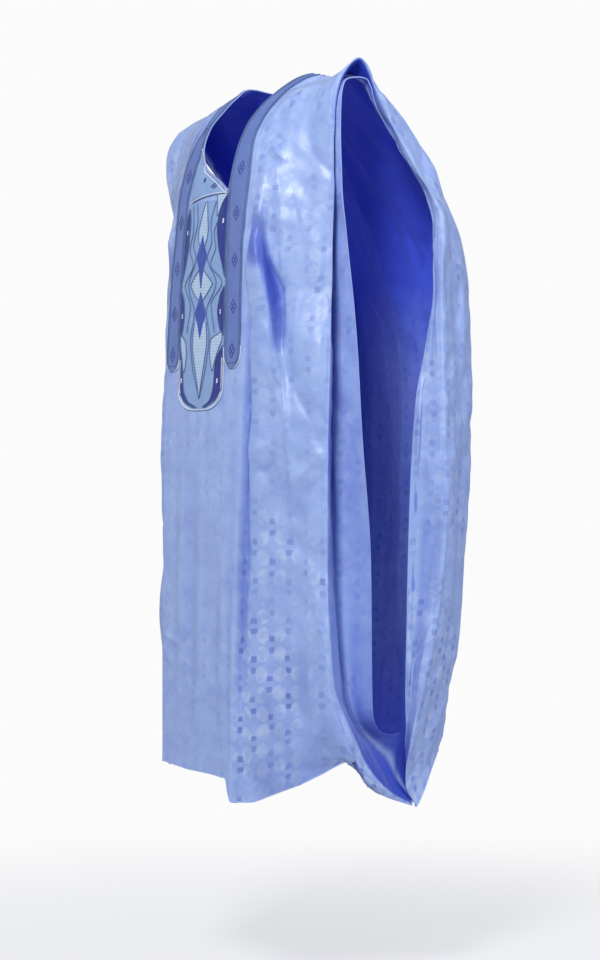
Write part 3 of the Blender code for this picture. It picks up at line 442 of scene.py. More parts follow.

# Creases and slack folds: (depth mm, + is proud; width mm on the inner and on the
# outer side; how sharp, 1 is a crease and 2 a soft fold; then (across, down) along it)
creases = {
    "frontLeft": [
        (3.2, 6, 8, 1.2, ((15, 120), (25, 138), (47, 155), (60, 163))),       # drags below the shoulder
        (-2.6, 6, 6, 1.4, ((16, 133), (30, 152), (52, 169))),
        (2.4, 6, 9, 1.2, ((18, 98), (24, 78), (36, 58))),
        (2.6, 9, 16, 1.1, ((44, 168), (55, 240), (61, 288), (76, 380), (84, 440))),
        # long drag fold
        (10.0, 26, 9, 1.3, ((10, 262), (27, 312), (44, 372), (60, 412), (76, 470), (84, 520))),
        (-7.0, 13, 5, 1.3, ((18, 246), (38, 318), (74, 366), (85, 412), (84, 470))),
        (5.0, 10, 12, 1.8, ((21, 190), (19, 300), (19, 410))),                  # the recess fills here
        (4.0, 16, 9, 1.1, ((30, 375), (48, 415), (71, 460), (92, 520), (106, 605), (111, 700))),
        (2.8, 14, 9, 1.1, ((34, 425), (63, 500), (93, 565), (107, 655), (118, 730))),
        (2.0, 8, 8, 1.1, ((40, 628), (65, 615), (84, 632))),                   # small crumples
        (-1.8, 7, 7, 1.2, ((40, 652), (61, 656), (84, 640))),
        (2.4, 8, 8, 1.1, ((112, 678), (138, 650), (162, 622))),
        (-2.0, 8, 8, 1.2, ((122, 698), (147, 678), (166, 668))),
        (3.0, 10, 16, 1.1, ((52, 905), (62, 960), (69, 1020), (83, 1080), (106, 1125), (134, 1152))),
        (2.2, 12, 12, 1.1, ((136, 780), (157, 885), (172, 955), (180, 1010))),
        (-3.0, 16, 16, 2.0, ((122, 915), (129, 1020), (125, 1120))),
        (2.4, 10, 14, 1.2, ((166, 1030), (152, 1105), (126, 1170))),
        (1.4, 12, 12, 2.0, ((-34, 640), (-30, 870), (-36, 1135))),              # soft lines of the front
        (-1.2, 10, 10, 2.0, ((-16, 620), (-14, 900), (-18, 1150))),
        (2.4, 9, 14, 1.1, ((215, 500), (233, 605), (251, 705), (261, 820))),    # turned-in side
        (2.0, 10, 10, 1.2, ((243, 735), (255, 860), (276, 1000))),
    ],
    "frontRight": [
        (2.0, 6, 8, 1.1, ((-4, 948), (-30, 955), (-66, 962))),
        (1.8, 5, 7, 1.1, ((-6, 968), (-20, 988), (-34, 1006))),
        (1.6, 12, 12, 2.0, ((-62, 600), (-60, 870), (-66, 1150))),
        (-1.4, 12, 12, 2.0, ((-92, 580), (-90, 870), (-94, 1150))),
        (1.4, 12, 12, 2.0, ((-122, 600), (-120, 880), (-126, 1150))),
        (5.0, 10, 26, 1.2, ((26, 250), (36, 300), (60, 352), (76, 420), (84, 500))),
        (-8.0, 16, 10, 1.8, ((24, 276), (36, 330), (58, 384), (74, 450), (84, 520))),
        (3.4, 14, 9, 1.1, ((34, 400), (62, 470), (92, 560), (106, 680))),
        (2.6, 8, 12, 1.2, ((30, 150), (60, 168), (96, 176))),
        (-2.4, 8, 8, 1.4, ((34, 166), (62, 182), (92, 190))),
        (2.2, 8, 8, 1.1, ((56, 640), (84, 622), (120, 640))),
        (3.0, 10, 16, 1.1, ((50, 890), (66, 980), (84, 1070), (110, 1130))),
        (-2.6, 16, 16, 2.0, ((124, 905), (128, 1020), (122, 1110))),
    ],
    "backLeft": [
        (3.0, 12, 16, 1.2, ((285, 520), (262, 620), (248, 735), (249, 900), (244, 1060))),
        (2.4, 12, 12, 1.2, ((230, 240), (212, 360), (222, 500), (205, 640))),
        (2.2, 16, 16, 2.0, ((60, 420), (64, 700), (58, 1100))),
        (-2.2, 16, 16, 2.0, ((102, 380), (98, 700), (92, 1080))),
        (2.6, 10, 14, 1.1, ((150, 150), (120, 260), (60, 350), (10, 400))),
        (2.0, 9, 12, 1.1, ((180, 210), (150, 330), (96, 440), (50, 500))),
        (2.2, 10, 10, 1.1, ((190, 700), (160, 800), (140, 930))),
        (-3.0, 14, 14, 2.0, ((292, 600), (300, 760), (296, 940))),
        (2.4, 8, 12, 1.1, ((280, 180), (292, 300), (285, 420))),
        (2.6, 7, 8, 1.1, ((279, 745), (288, 835), (290, 900), (292, 980), (293, 1040))),
        (-1.8, 7, 8, 1.3, ((296, 760), (305, 850), (308, 930), (310, 1010))),
    ],
    "backRight": [
        (3.0, 12, 16, 1.2, ((262, 480), (240, 620), (232, 780), (236, 960), (228, 1080))),
        (2.2, 16, 16, 2.0, ((56, 400), (60, 700), (54, 1100))),
        (-2.2, 16, 16, 2.0, ((96, 420), (94, 720), (90, 1080))),
        (2.8, 10, 14, 1.1, ((160, 170), (126, 280), (70, 370), (16, 430))),
        (2.0, 9, 12, 1.1, ((190, 240), (158, 360), (100, 480), (60, 540))),
        (2.2, 10, 10, 1.1, ((186, 680), (158, 800), (142, 900))),
        (2.4, 12, 12, 1.2, ((214, 280), (200, 400), (210, 520))),
        (-3.0, 14, 14, 2.0, ((284, 620), (292, 760), (288, 920))),
    ],
}


def toLine(across, downs, line):
    # signed distance from every point to a line of points, and how far along it the nearest is
    best = np.full(across.shape, 1e9)
    signed, place = np.zeros(across.shape), np.zeros(across.shape)
    line = np.array(line, float)
    lengths = np.linalg.norm(np.diff(line, axis=0), axis=1)
    total, run = lengths.sum(), 0.0
    for (x0, y0), (x1, y1), length in zip(line[:-1], line[1:], lengths):
        ux, uy = (x1 - x0) / length, (y1 - y0) / length
        along = np.clip((across - x0) * ux + (downs - y0) * uy, 0, length)
        gapX, gapY = across - x0 - along * ux, downs - y0 - along * uy
        distance = np.hypot(gapX, gapY)
        closer = distance < best
        best = np.where(closer, distance, best)
        signed = np.where(closer, np.where(gapX * uy - gapY * ux >= 0, 1, -1), signed)
        place = np.where(closer, (run + along) / total, place)
        run += length
    return best, signed, place


for side, h in half.items():
    lift = np.zeros(h["across"].shape)
    for face in ("front", "back"):
        part = slice(0, shoulder + 1) if face == "front" else slice(shoulder + 1, None)
        across, downs = h["across"][part], np.repeat(rows[part][:, None], h["across"].shape[1], axis=1)
        for depth, widthIn, widthOut, sharp, line in creases[face + side.capitalize()]:
            distance, sign, place = toLine(across, downs, line)
            width = np.where(sign > 0, widthOut, widthIn)
            fade = np.sin(np.pi * np.clip(place, 0, 1)) ** 0.7
            lift[part] += cloth["creaseGain"] * depth * fade * np.exp(-(distance / width) ** sharp)
    # the starched cloth crumples a little everywhere, less at the pressed folds and free edges
    columns = np.arange(lift.shape[1])
    edges = np.ones(len(columns))
    for c in (6, 18, 22, 25):
        edges *= 1 - 0.8 * np.exp(-((columns - h["stops"][c]) / 3.0) ** 2)
    middle = np.interp(columns, [h["stops"][5], h["stops"][9]], [0.3, 1.0])
    awayFromNeck = np.where(isBack, np.clip(rows / 100, 0, 1), 0)[:, None]
    calm = edges * (middle + (1 - middle) * awayFromNeck)
    crumple = np.zeros_like(lift)
    for r in range(lift.shape[0]):
        for c in range(lift.shape[1]):
            p = Vector(h["points"][r, c])
            broad = noise.noise(Vector((p[0] * crumples["broad"], p[1] * crumples["broad"],
                                        p[2] * crumples["broadDown"])))
            small = noise.noise(Vector((p[0] * crumples["small"], p[1] * crumples["small"] + 9,
                                        p[2] * crumples["smallDown"])))
            folded = 0.0
            for k, (wave, lean, height) in enumerate(paper):
                turn = math.radians(lean)
                phase = (h["across"][r, c] * math.cos(turn) - rows[r] * math.sin(turn)) / wave
                phase += 0.55 * noise.noise(Vector((p[0] * 6 + 11 * k, p[1] * 6, p[2] * 4)))
                here = noise.noise(Vector((p[0] * 7, p[1] * 7 + 5 * k, p[2] * 4 + 17 * k)))
                share = min(max((here + 0.18) / 0.4, 0), 1)
                folded += height * share * abs(2 * (phase % 1) - 1)
            bend = noise.noise_vector(p * 5) * facets["bend"]
            place = Vector(((p[0] + facets["lean"] * p[2]) * facets["across"], p[1] * facets["across"],
                            p[2] * facets["down"]))
            near = noise.voronoi(place + bend)[0]
            facet = facets["height"] * (min(near[1] - near[0], facets["flat"]) - 0.3)
            crumple[r, c] = (crumples["broadHigh"] * broad + crumples["smallHigh"] * (0.5 - abs(small) * 2)
                             + folded + facet)
    # painted shade: the colour darkens where a crease sinks in, and in the listed folds
    h["fold"] = np.clip(-lift / 20, 0, 1)
    for face, first, last, soft, line in paintedFoldShade:
        share = np.interp(rows, [r[0] for r in line], [r[1] for r in line]) * (isBack == (face == "back"))
        away = np.maximum(np.maximum(h["stops"][first] - columns, columns - h["stops"][last]), 0)
        h["fold"] = np.maximum(h["fold"], share[:, None] * np.exp(-(away / soft) ** 2))
    # painted shade on the inside of the cloth, read by the wrong side's material
    h["inside"] = np.zeros_like(lift)
    for face, line in paintedInsideShade.items():
        share = np.interp(rows, [r[0] for r in line], [r[1] for r in line])
        h["inside"] = np.where((isBack == (face == "back"))[:, None], share[:, None], h["inside"])
    downs = np.repeat(rows[:, None], len(columns), axis=1)
    # painted shade along the folds turned from the light
    for label, share, width, line in paintedFoldShadows:
        if label.endswith(side.capitalize()):
            distance, sign, place = toLine(h["across"], downs, line)
            fade = np.sin(np.pi * np.clip(place, 0, 1)) ** 0.5
            fade = fade * (isBack == label.startswith("back"))[:, None]
            h["fold"] = np.maximum(h["fold"], share * fade * np.exp(-(distance / width) ** 5))
    # how strongly the damask shows, woven pattern and painted sheen together
    h["figureAndSheen"] = np.zeros_like(lift)
    for face, first, last, line in figureAndSheenStrengths:
        strength = np.interp(rows, [r[0] for r in line], [r[1] for r in line])
        between = (columns >= h["stops"][first]) & (columns <= h["stops"][last])
        here = (isBack == (face == "back"))[:, None] & between
        h["figureAndSheen"] = np.where(here, strength[:, None], h["figureAndSheen"])
    for turn in range(8):
        h["figureAndSheen"][:, 1:-1] = (h["figureAndSheen"][:, :-2] + 2 * h["figureAndSheen"][:, 1:-1] + h["figureAndSheen"][:, 2:]) / 4
    h["points"] = h["points"] + h["normals"] * ((lift + crumple * calm) * mm)[:, :, None]
# the two halves stay one cloth below the neck
joined = np.where(isBack, rows >= 56, rows >= 200)
middle = (half["left"]["points"][:, 0] + half["right"]["points"][:, 0]) / 2
for side, h in half.items():
    h["points"][joined, 0] = middle[joined]
    h["normals"] = normalsOf(h["points"], side == "left")
seam = (half["left"]["normals"][:, 0] + half["right"]["normals"][:, 0]) / 2
for h in half.values():
    h["normals"][joined, 0] = seam[joined]
print("folds laid")


def toLinear(code, alpha=1.0):
    values = [int(code[i:i + 2], 16) / 255 for i in (0, 2, 4)]
    return [v / 12.92 if v <= 0.04045 else ((v + 0.055) / 1.055) ** 2.4 for v in values] + [alpha]


def addNode(tree, kind, settings=None, links=None):
    # one node with its settings (attributes or inputs) and the outputs that feed it
    node = tree.nodes.new(kind)
    for name, value in (settings or {}).items():
        if isinstance(name, str) and hasattr(node, name):
            setattr(node, name, value)
        else:
            node.inputs[name].default_value = value
    for name, source in (links or {}).items():
        tree.links.new(source, node.inputs[name])
    return node


def newMaterial(name, shader):
    material = bpy.data.materials.new(name)
    material.use_nodes = True
    tree = material.node_tree
    principled = tree.nodes["Principled BSDF"]
    for socket, value in shader.items():
        principled.inputs[socket].default_value = value
    return material, tree, principled


def calc(tree, operation, *terms):
    # a sum on numbers and outputs of other nodes
    values = {k: v for k, v in enumerate(terms) if isinstance(v, float)}
    links = {k: v for k, v in enumerate(terms) if not isinstance(v, float)}
    return addNode(tree, "ShaderNodeMath", {"operation": operation, **values}, links).outputs[0]


def vectorCalc(tree, operation, settings, links):
    return addNode(tree, "ShaderNodeVectorMath", {"operation": operation, **settings}, links).outputs[0]


def ramp(tree, source, low, high, bottom=0.0, top=1.0):
    # low to high in the source becomes bottom to top
    ends = {"From Min": low, "From Max": high, "To Min": bottom, "To Max": top}
    return addNode(tree, "ShaderNodeMapRange", ends, {0: source}).outputs[0]


def blend(tree, share, first, second):
    # mixes two colours, each a code or the output of another node
    ends = {6: first, 7: second}
    values = {k: toLinear(v) for k, v in ends.items() if isinstance(v, str)}
    links = {k: v for k, v in ends.items() if not isinstance(v, str)}
    return addNode(tree, "ShaderNodeMix", {"data_type": "RGBA", **values}, {0: share, **links}).outputs[2]


def cloudy(tree, place, scale, detail, rough=0.5):
    return addNode(tree, "ShaderNodeTexNoise", {"Scale": scale, "Detail": detail, "Roughness": rough},
                   {"Vector": place})


def bumped(tree, height, strength, distance, under=None):
    links = {"Height": height, "Normal": under} if under else {"Height": height}
    return addNode(tree, "ShaderNodeBump", {"Strength": strength, "Distance": distance}, links).outputs[0]

# Bazin: cotton damask, woven in satin and ground, then starched and beaten until it shines.
# It gives stiff paper-like folds, a polished sheen, and a pattern that shows by its gloss. The pattern is
# drawn here in colour: its lighter leaves and darker squares are partly woven pattern, partly painted sheen.
damask = {
    "column": 30.0, "repeat": 65.0,          # mm between columns, and down one repeat
    "square": 4.6, "pair": 9.0,              # half a square, and half the gap between a pair's middles
    "leafWide": 11.5, "leafTall": 14.0,      # half a leaf
    # the last tone of each side is the painted shade colour that the folds and the inside darken towards
    "rightSide": {"ground": "a0b9ee", "leaf": "bccff5", "square": "7488d2", "deep": "3148bb"},
    # the wrong side's tones are darker than the polished side's: partly a duller wrong side, partly painted
    # shade of the robe's inside
    "wrongSide": {"ground": "7d94e2", "leaf": "8ba1ea", "square": "6076d2", "deep": "465ce4"},
}


def damaskFigure(tree, uv):
    # the shares of the leaves and of the squares at a place of the woven repeat
    waver = cloudy(tree, uv, 22.0, 1.0).outputs["Color"]
    centred = vectorCalc(tree, "SUBTRACT", {1: (0.5, 0.5, 0.5)}, {0: waver})
    small = vectorCalc(tree, "SCALE", {"Scale": 0.010}, {0: centred})
    moved = vectorCalc(tree, "ADD", {}, {0: uv, 1: small})
    place = addNode(tree, "ShaderNodeSeparateXYZ", links={0: moved})
    column = calc(tree, "MULTIPLY", place.outputs[0], 1000 / damask["column"])
    fromMiddle = calc(tree, "SUBTRACT", calc(tree, "FRACT", column), 0.5)
    acrossMm = calc(tree, "MULTIPLY", calc(tree, "ABSOLUTE", fromMiddle), damask["column"])
    odd = calc(tree, "FLOORED_MODULO", calc(tree, "FLOOR", column), 2.0)
    brick = calc(tree, "MULTIPLY", odd, 0.5)
    repeat = calc(tree, "MULTIPLY_ADD", place.outputs[1], 1000 / damask["repeat"], brick)
    fromPair = calc(tree, "SUBTRACT", calc(tree, "FRACT", repeat), 0.5)
    downMm = calc(tree, "MULTIPLY", calc(tree, "ABSOLUTE", fromPair), damask["repeat"])
    # pairs of small squares
    fromSquare = calc(tree, "ABSOLUTE", calc(tree, "SUBTRACT", downMm, damask["pair"]))
    box = calc(tree, "MAXIMUM", acrossMm, fromSquare)
    square = ramp(tree, box, damask["square"] + 0.5, damask["square"] - 0.5)
    # leaves between the columns
    leafX = calc(tree, "DIVIDE", calc(tree, "SUBTRACT", damask["column"] / 2, acrossMm), damask["leafWide"])
    toLeaf = calc(tree, "SUBTRACT", downMm, damask["repeat"] / 4)
    leafY = calc(tree, "ABSOLUTE", calc(tree, "DIVIDE", toLeaf, damask["leafTall"]))
    oval = calc(tree, "ADD", calc(tree, "POWER", leafX, 1.6), calc(tree, "POWER", leafY, 1.6))
    return ramp(tree, oval, 1.08, 0.92), square


def makeDamask(name, tone, roughness, deepIn):
    material, tree, shader = newMaterial(name, {
        "Roughness": roughness, "Sheen Weight": 0.12, "Sheen Roughness": 0.4, "Coat Roughness": 0.34})
    uv = addNode(tree, "ShaderNodeUVMap", {"uv_map": "cloth"}).outputs[0]
    where = addNode(tree, "ShaderNodeTexCoord").outputs["Object"]
    leaf, square = damaskFigure(tree, uv)
    whole = ramp(tree, cloudy(tree, uv, 55.0, 2.0).outputs[0], 0.36, 0.56, 0.15, 1.25)
    # painted sheen: the pattern shows in patches, as it does by its gloss
    sheenPatches = ramp(tree, cloudy(tree, where, 9.0, 3.0, 0.6).outputs[0], 0.40, 0.60, 0.2, 1.0)
    figureAndSheen = addNode(tree, "ShaderNodeAttribute", {"attribute_name": "figureAndSheen"}).outputs["Fac"]
    everywhere = calc(tree, "MULTIPLY", sheenPatches, figureAndSheen)
    strength = calc(tree, "MULTIPLY", everywhere, whole)
    ground = blend(tree, calc(tree, "MULTIPLY", leaf, strength), tone["ground"], tone["leaf"])
    # painted sheen: darker blotches at random across the cloth, standing for its patchy gloss
    sheenBlotches = ramp(tree, cloudy(tree, where, 21.0, 4.0, 0.65).outputs[0], 0.42, 0.66, 0.0, 0.34)
    uneven = blend(tree, sheenBlotches, ground, tone["square"])
    figured = blend(tree, calc(tree, "MULTIPLY", square, everywhere), uneven, tone["square"])
    # painted shade: the colour darkens towards the shade tone by the mask, on folds of the polished side and
    # on the inside of the wrong side
    fold = addNode(tree, "ShaderNodeAttribute", {"attribute_name": deepIn}).outputs["Fac"]
    tree.links.new(blend(tree, fold, figured, tone["deep"]), shader.inputs["Base Color"])
    # no glints in the folds
    for socket, full in (("Coat Weight", 0.12), ("Specular IOR Level", 0.5)):
        tree.links.new(ramp(tree, fold, 0.0, 1.0, full, 0.25 * full), shader.inputs[socket])
    # satin leaves are glossier than the ground
    tree.links.new(ramp(tree, leaf, 0.0, 1.0, roughness, roughness - 0.05), shader.inputs["Roughness"])
    # fine crackle of the starch, and the yarn, drawn at 1.2 mm so that it shows
    crackle = addNode(tree, "ShaderNodeTexVoronoi", {"feature": "DISTANCE_TO_EDGE", "Scale": 26.0},
                      {"Vector": where})
    yarn = addNode(tree, "ShaderNodeTexWave", {"Scale": 260.0, "Distortion": 1.5, "bands_direction": "Y"},
                   {"Vector": uv})
    cracked = bumped(tree, ramp(tree, crackle.outputs[0], 0.0, 0.12), 0.035, 0.004)
    tree.links.new(bumped(tree, yarn.outputs[0], 0.06, 0.0006, cracked), shader.inputs["Normal"])
    return material


bazinRight = makeDamask("bazin cotton damask, polished side", damask["rightSide"], 0.42, "fold")
bazinWrong = makeDamask("bazin cotton damask, wrong side", damask["wrongSide"], 0.52, "inside")


def addMesh(name, points, faces, materials, uvs=None, fold=None):
    mesh = bpy.data.meshes.new(name)
    mesh.from_pydata([tuple(p) for p in points], [], faces)
    for material in materials:
        mesh.materials.append(material)
    if uvs is not None:
        layer = mesh.uv_layers.new(name="cloth")
        corner = np.empty(len(mesh.loops), dtype=np.int32)
        mesh.loops.foreach_get("vertex_index", corner)
        layer.data.foreach_set("uv", np.asarray(uvs, float)[corner].ravel())
    if fold is not None:
        for k, label in enumerate(("fold", "figureAndSheen", "inside")):
            values = np.ascontiguousarray(np.array(fold, float)[:, k])
            mesh.attributes.new(label, "FLOAT", "POINT").data.foreach_set("value", values)
    mesh.shade_smooth()
    piece = bpy.data.objects.new(name, mesh)
    bpy.context.scene.collection.objects.link(piece)
    return piece


def tube(path, radius, sides=8, closed=False):
    # a round thread or rolled edge along a path of points: its points and faces
    path = np.array(path)
    along = np.gradient(path, axis=0) if not closed else np.roll(path, -1, 0) - np.roll(path, 1, 0)
    along /= np.linalg.norm(along, axis=1, keepdims=True) + 1e-12
    up = np.array([0.31, -0.87, 0.38])
    points = []
    for p, a, size in zip(path, along, np.broadcast_to(radius, len(path))):
        u = np.cross(a, up)
        u /= np.linalg.norm(u) + 1e-12
        v = np.cross(a, u)
        for k in range(sides):
            turn = 2 * math.pi * k / sides
            points.append(p + (u * math.cos(turn) + v * math.sin(turn)) * size)
    faces = []
    count = len(path)
    for i in range(count if closed else count - 1):
        j = (i + 1) % count
        for k in range(sides):
            m = (k + 1) % sides
            faces.append([i * sides + k, i * sides + m, j * sides + m, j * sides + k])
    if not closed:
        faces += [list(range(sides))[::-1], [(count - 1) * sides + k for k in range(sides)]]
    return points, faces


def joinedMeshes(parts):
    points, faces = [], []
    for p, f in parts:
        faces += [[v + len(points) for v in q] for q in f]
        points += list(p)
    return points, faces


def panelMesh(name, blocks):
    # blocks: (side, rows, columns); welded where they meet
    points, uvs, folds, faces, index = [], [], [], [], {}
    for side, r, c in blocks:
        h = half[side]
        p, a = h["points"][r, c], h["across"][r, c]
        t = np.where(isBack, rows, -rows)[r]
        traits = np.stack([h[label][r, c] for label in ("fold", "figureAndSheen", "inside")], axis=-1)
        numbers = np.zeros(p.shape[:2], int)
        for i in range(p.shape[0]):
            for j in range(p.shape[1]):
                key = (round(p[i, j, 0], 6), round(p[i, j, 1], 6), round(p[i, j, 2], 6))
                if key not in index:
                    index[key] = len(points)
                    points.append(p[i, j])
                    uvs.append((a[i, j] * mm * (1 if side == "left" else -1), t[i] * mm))
                    folds.append(traits[i, j])
                numbers[i, j] = index[key]
        for i in range(p.shape[0] - 1):
            for j in range(p.shape[1] - 1):
                quad = [numbers[i, j], numbers[i, j + 1], numbers[i + 1, j + 1], numbers[i + 1, j]]
                faces.append([int(v) for v in (quad if side == "left" else quad[::-1])])
    piece = addMesh(name, points, faces, [bazinRight, bazinWrong], uvs, folds)
    counts = {}
    for polygon in piece.data.polygons:
        for key in polygon.edge_keys:
            counts[key] = counts.get(key, 0) + 1
    for edge in piece.data.edges:
        edge.use_edge_sharp = counts[edge.key] == 1             # cut edges turn crisply
    shell = piece.modifiers.new("thickness", "SOLIDIFY")
    shell.thickness = cloth["thickness"]
    shell.offset = 0
    shell.material_offset = 1
    return piece


every = slice(None)
frontRows, backRows = slice(0, shoulder + 1), slice(shoulder, None)
centre = {s: slice(0, half[s]["stops"][13] + 1) for s in half}
flap = {s: slice(half[s]["stops"][13], None) for s in half}
panels = {
    "frontPanel": (("left", frontRows, centre["left"]), ("right", frontRows, centre["right"])),
    "backPanel": (("left", backRows, centre["left"]), ("right", backRows, centre["right"])),
    "sidePanelLeft": (("left", every, flap["left"]),),
    "sidePanelRight": (("right", every, flap["right"]),),
}
stands = {"frontPanel": "front_panel", "backPanel": "back_panel",
          "sidePanelLeft": "side_panel_left", "sidePanelRight": "side_panel_right"}
made = {}
for name, blocks in panels.items():
    made[name] = panelMesh(name, blocks)
    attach(made[name], "root")
    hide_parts(stands[name])
print("panels made")

# Narrow rolled hems along the free edges, where the light catches
hem = {"radius": 0.0011, "sides": 8, "frontEnd": 860, "thinning": 460}   # the last two in mm down


def freeEdge(grid):
    # the rolled edge of a side, which thins out low on the front
    kept = (rows < hem["frontEnd"]) | isBack
    share = np.where(isBack, 1.0, np.clip((hem["frontEnd"] - rows) / hem["thinning"], 0.1, 1.0))
    return tube(grid[kept, -1], hem["radius"] * share[kept], hem["sides"])


def makeHem(name, paths, edge=None):
    parts = [tube(path, hem["radius"], hem["sides"]) for path in paths] + ([edge] if edge else [])
    points, faces = joinedMeshes(parts)
    uvs = [(p[0], p[2]) for p in points]
    piece = addMesh(name, points, faces, [bazinRight], uvs, [(0, 0, 0)] * len(points))
    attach(piece, "root")
    return piece


def acrossHem(row):
    # the whole edge of a middle panel, from the wearer's right seam to the left one
    return np.vstack([rightGrid[row, :rightEnd + 1][::-1], leftGrid[row, 1:leftEnd + 1]])


def neckEdge(grid, part, last):
    return grid[part, 0][rows[part] <= last]


leftGrid, rightGrid = half["left"]["points"], half["right"]["points"]
leftEnd, rightEnd = half["left"]["stops"][13], half["right"]["stops"][13]
neckEnds = {"front": 200, "back": 57}       # mm down
frontNeck = [neckEdge(grid, frontRows, neckEnds["front"]) for grid in (leftGrid, rightGrid)]
backNeck = [neckEdge(grid, backRows, neckEnds["back"]) for grid in (leftGrid, rightGrid)]
hems = {
    "frontPanel": makeHem("frontPanelHem", [acrossHem(0)] + frontNeck),
    "backPanel": makeHem("backPanelHem", [acrossHem(-1)] + backNeck),
    "sidePanelLeft": makeHem("sidePanelLeftHem", [leftGrid[0, leftEnd:], leftGrid[-1, leftEnd:]],
                             freeEdge(leftGrid)),
    "sidePanelRight": makeHem("sidePanelRightHem", [rightGrid[0, rightEnd:], rightGrid[-1, rightEnd:]],
                              freeEdge(rightGrid)),
}


# Charts of the front and the back: a place for every x and distance down, both in mm
chartX = np.arange(-190.0, 190.5, 1.0)


def makeChart(face, last):
    picked = range(shoulder, -1, -1) if face == "front" else range(shoulder, len(rows))
    table = np.zeros((len(down), len(chartX), 6))
    for n, r in enumerate(picked):
        sides = []
        for side in ("right", "left"):
            h = half[side]
            stop = h["stops"][last] + 1
            both = np.hstack([h["points"][r, :stop], h["normals"][r, :stop]])
            sides.append(both[::-1] if side == "right" else both)
        line = np.vstack(sides)
        order = np.argsort(line[:, 0], kind="stable")
        for k in range(6):
            table[n, :, k] = np.interp(chartX * mm, line[order, 0], line[order, k])
    return table


charts = {"front": makeChart("front", 6), "back": makeChart("back", 13)}


def onCloth(face, x, downs, lift):
    # points lifted off the cloth by lift mm
    x, downs = np.asarray(x, float), np.asarray(downs, float)
    r = np.clip(np.searchsorted(down, downs, side="right") - 1, 0, len(down) - 2)
    u = ((downs - down[r]) / (down[r + 1] - down[r]))[..., None]
    c = np.clip((x - chartX[0]).astype(int), 0, len(chartX) - 2)
    v = (x - chartX[c])[..., None]
    chart = charts[face]
    found = ((chart[r, c] * (1 - v) + chart[r, c + 1] * v) * (1 - u)
             + (chart[r + 1, c] * (1 - v) + chart[r + 1, c + 1] * v) * u)
    normal = found[..., 3:] / np.linalg.norm(found[..., 3:], axis=-1, keepdims=True)
    return found[..., :3] + normal * (np.asarray(lift, float)[..., None] * mm)


def filled(table, step=2.5, straight=False):
    # a shape's rows (distance down, first x, last x), more of them
    data = np.array(table, float)
    at = np.linspace(data[0, 0], data[-1, 0], max(3, int(abs(data[-1, 0] - data[0, 0]) / step) + 1))
    if straight:
        edges = np.stack([np.interp(at, data[:, 0], data[:, k]) for k in (1, 2)], axis=1)
    else:
        edges = follow(data, at)
    return np.column_stack([at, edges])


def laidShapes(face, shapes, lift, dome=0.0, columns=6):
    # meshes of shapes laid on the cloth, padded in the middle by dome mm
    points, faces, uvs = [], [], []
    v = np.linspace(0, 1, columns + 1)
    for shape in shapes:
        x = shape[:, 1:2] + (shape[:, 2:3] - shape[:, 1:2]) * v
        d = np.repeat(shape[:, :1], columns + 1, axis=1)
        rise = lift + dome * np.sin(np.pi * v) ** 0.7 * np.ones_like(x)
        grid = onCloth(face, x, d, rise)
        base = len(points)
        points += list(grid.reshape(-1, 3))
        uvs += list(np.stack([x, d], axis=-1).reshape(-1, 2) * mm)
        for i in range(len(shape) - 1):
            for j in range(columns):
                a = base + i * (columns + 1) + j
                quad = [a, a + 1, a + columns + 2, a + columns + 1]
                faces.append(quad[::-1] if face == "front" else quad)
    return points, faces, uvs


def outline(shape, inset=0.0):
    # the closed edge of a shape, as (x, distance down)
    first = np.column_stack([shape[:, 1] + inset, shape[:, 0]])
    last = np.column_stack([shape[:, 2] - inset, shape[:, 0]])[::-1]
    return np.vstack([first, last])


def evenly(path, step):
    path = np.array(path, float)
    run = np.concatenate([[0], np.cumsum(np.linalg.norm(np.diff(path, axis=0), axis=1))])
    at = np.linspace(0, run[-1], max(2, int(run[-1] / step) + 1))
    return np.column_stack([np.interp(at, run, path[:, k]) for k in range(path.shape[1])])


def cordMesh(face, paths, radius, lift, step=2.0):
    # couched cord along paths of (x, distance down)
    parts = []
    for path in paths:
        path = evenly(path, step)
        line = onCloth(face, path[:, 0], path[:, 1], np.full(len(path), lift + radius * 0.6))
        parts.append(tube(line, radius * mm, 6))
    return joinedMeshes(parts)


def strokeMesh(face, strokes, width, lift):
    # flat stitched lines; a stroke is a short path of (x, distance down)
    points, faces, uvs = [], [], []
    for stroke in strokes:
        path = evenly(stroke, 2.0)
        along = np.gradient(path, axis=0)
        along /= np.linalg.norm(along, axis=1, keepdims=True)
        side = np.column_stack([along[:, 1], -along[:, 0]]) * width / 2
        base = len(points)
        for k, rise in ((-1, 0), (0, 0.35), (1, 0)):
            at = path + side * k
            points += list(onCloth(face, at[:, 0], at[:, 1], np.full(len(at), lift + rise)))
            uvs += list(at * mm)
        n = len(path)
        for k in range(2):
            for i in range(n - 1):
                a = base + k * n + i
                faces.append([a, a + 1, a + n + 1, a + n])
    return points, faces, uvs


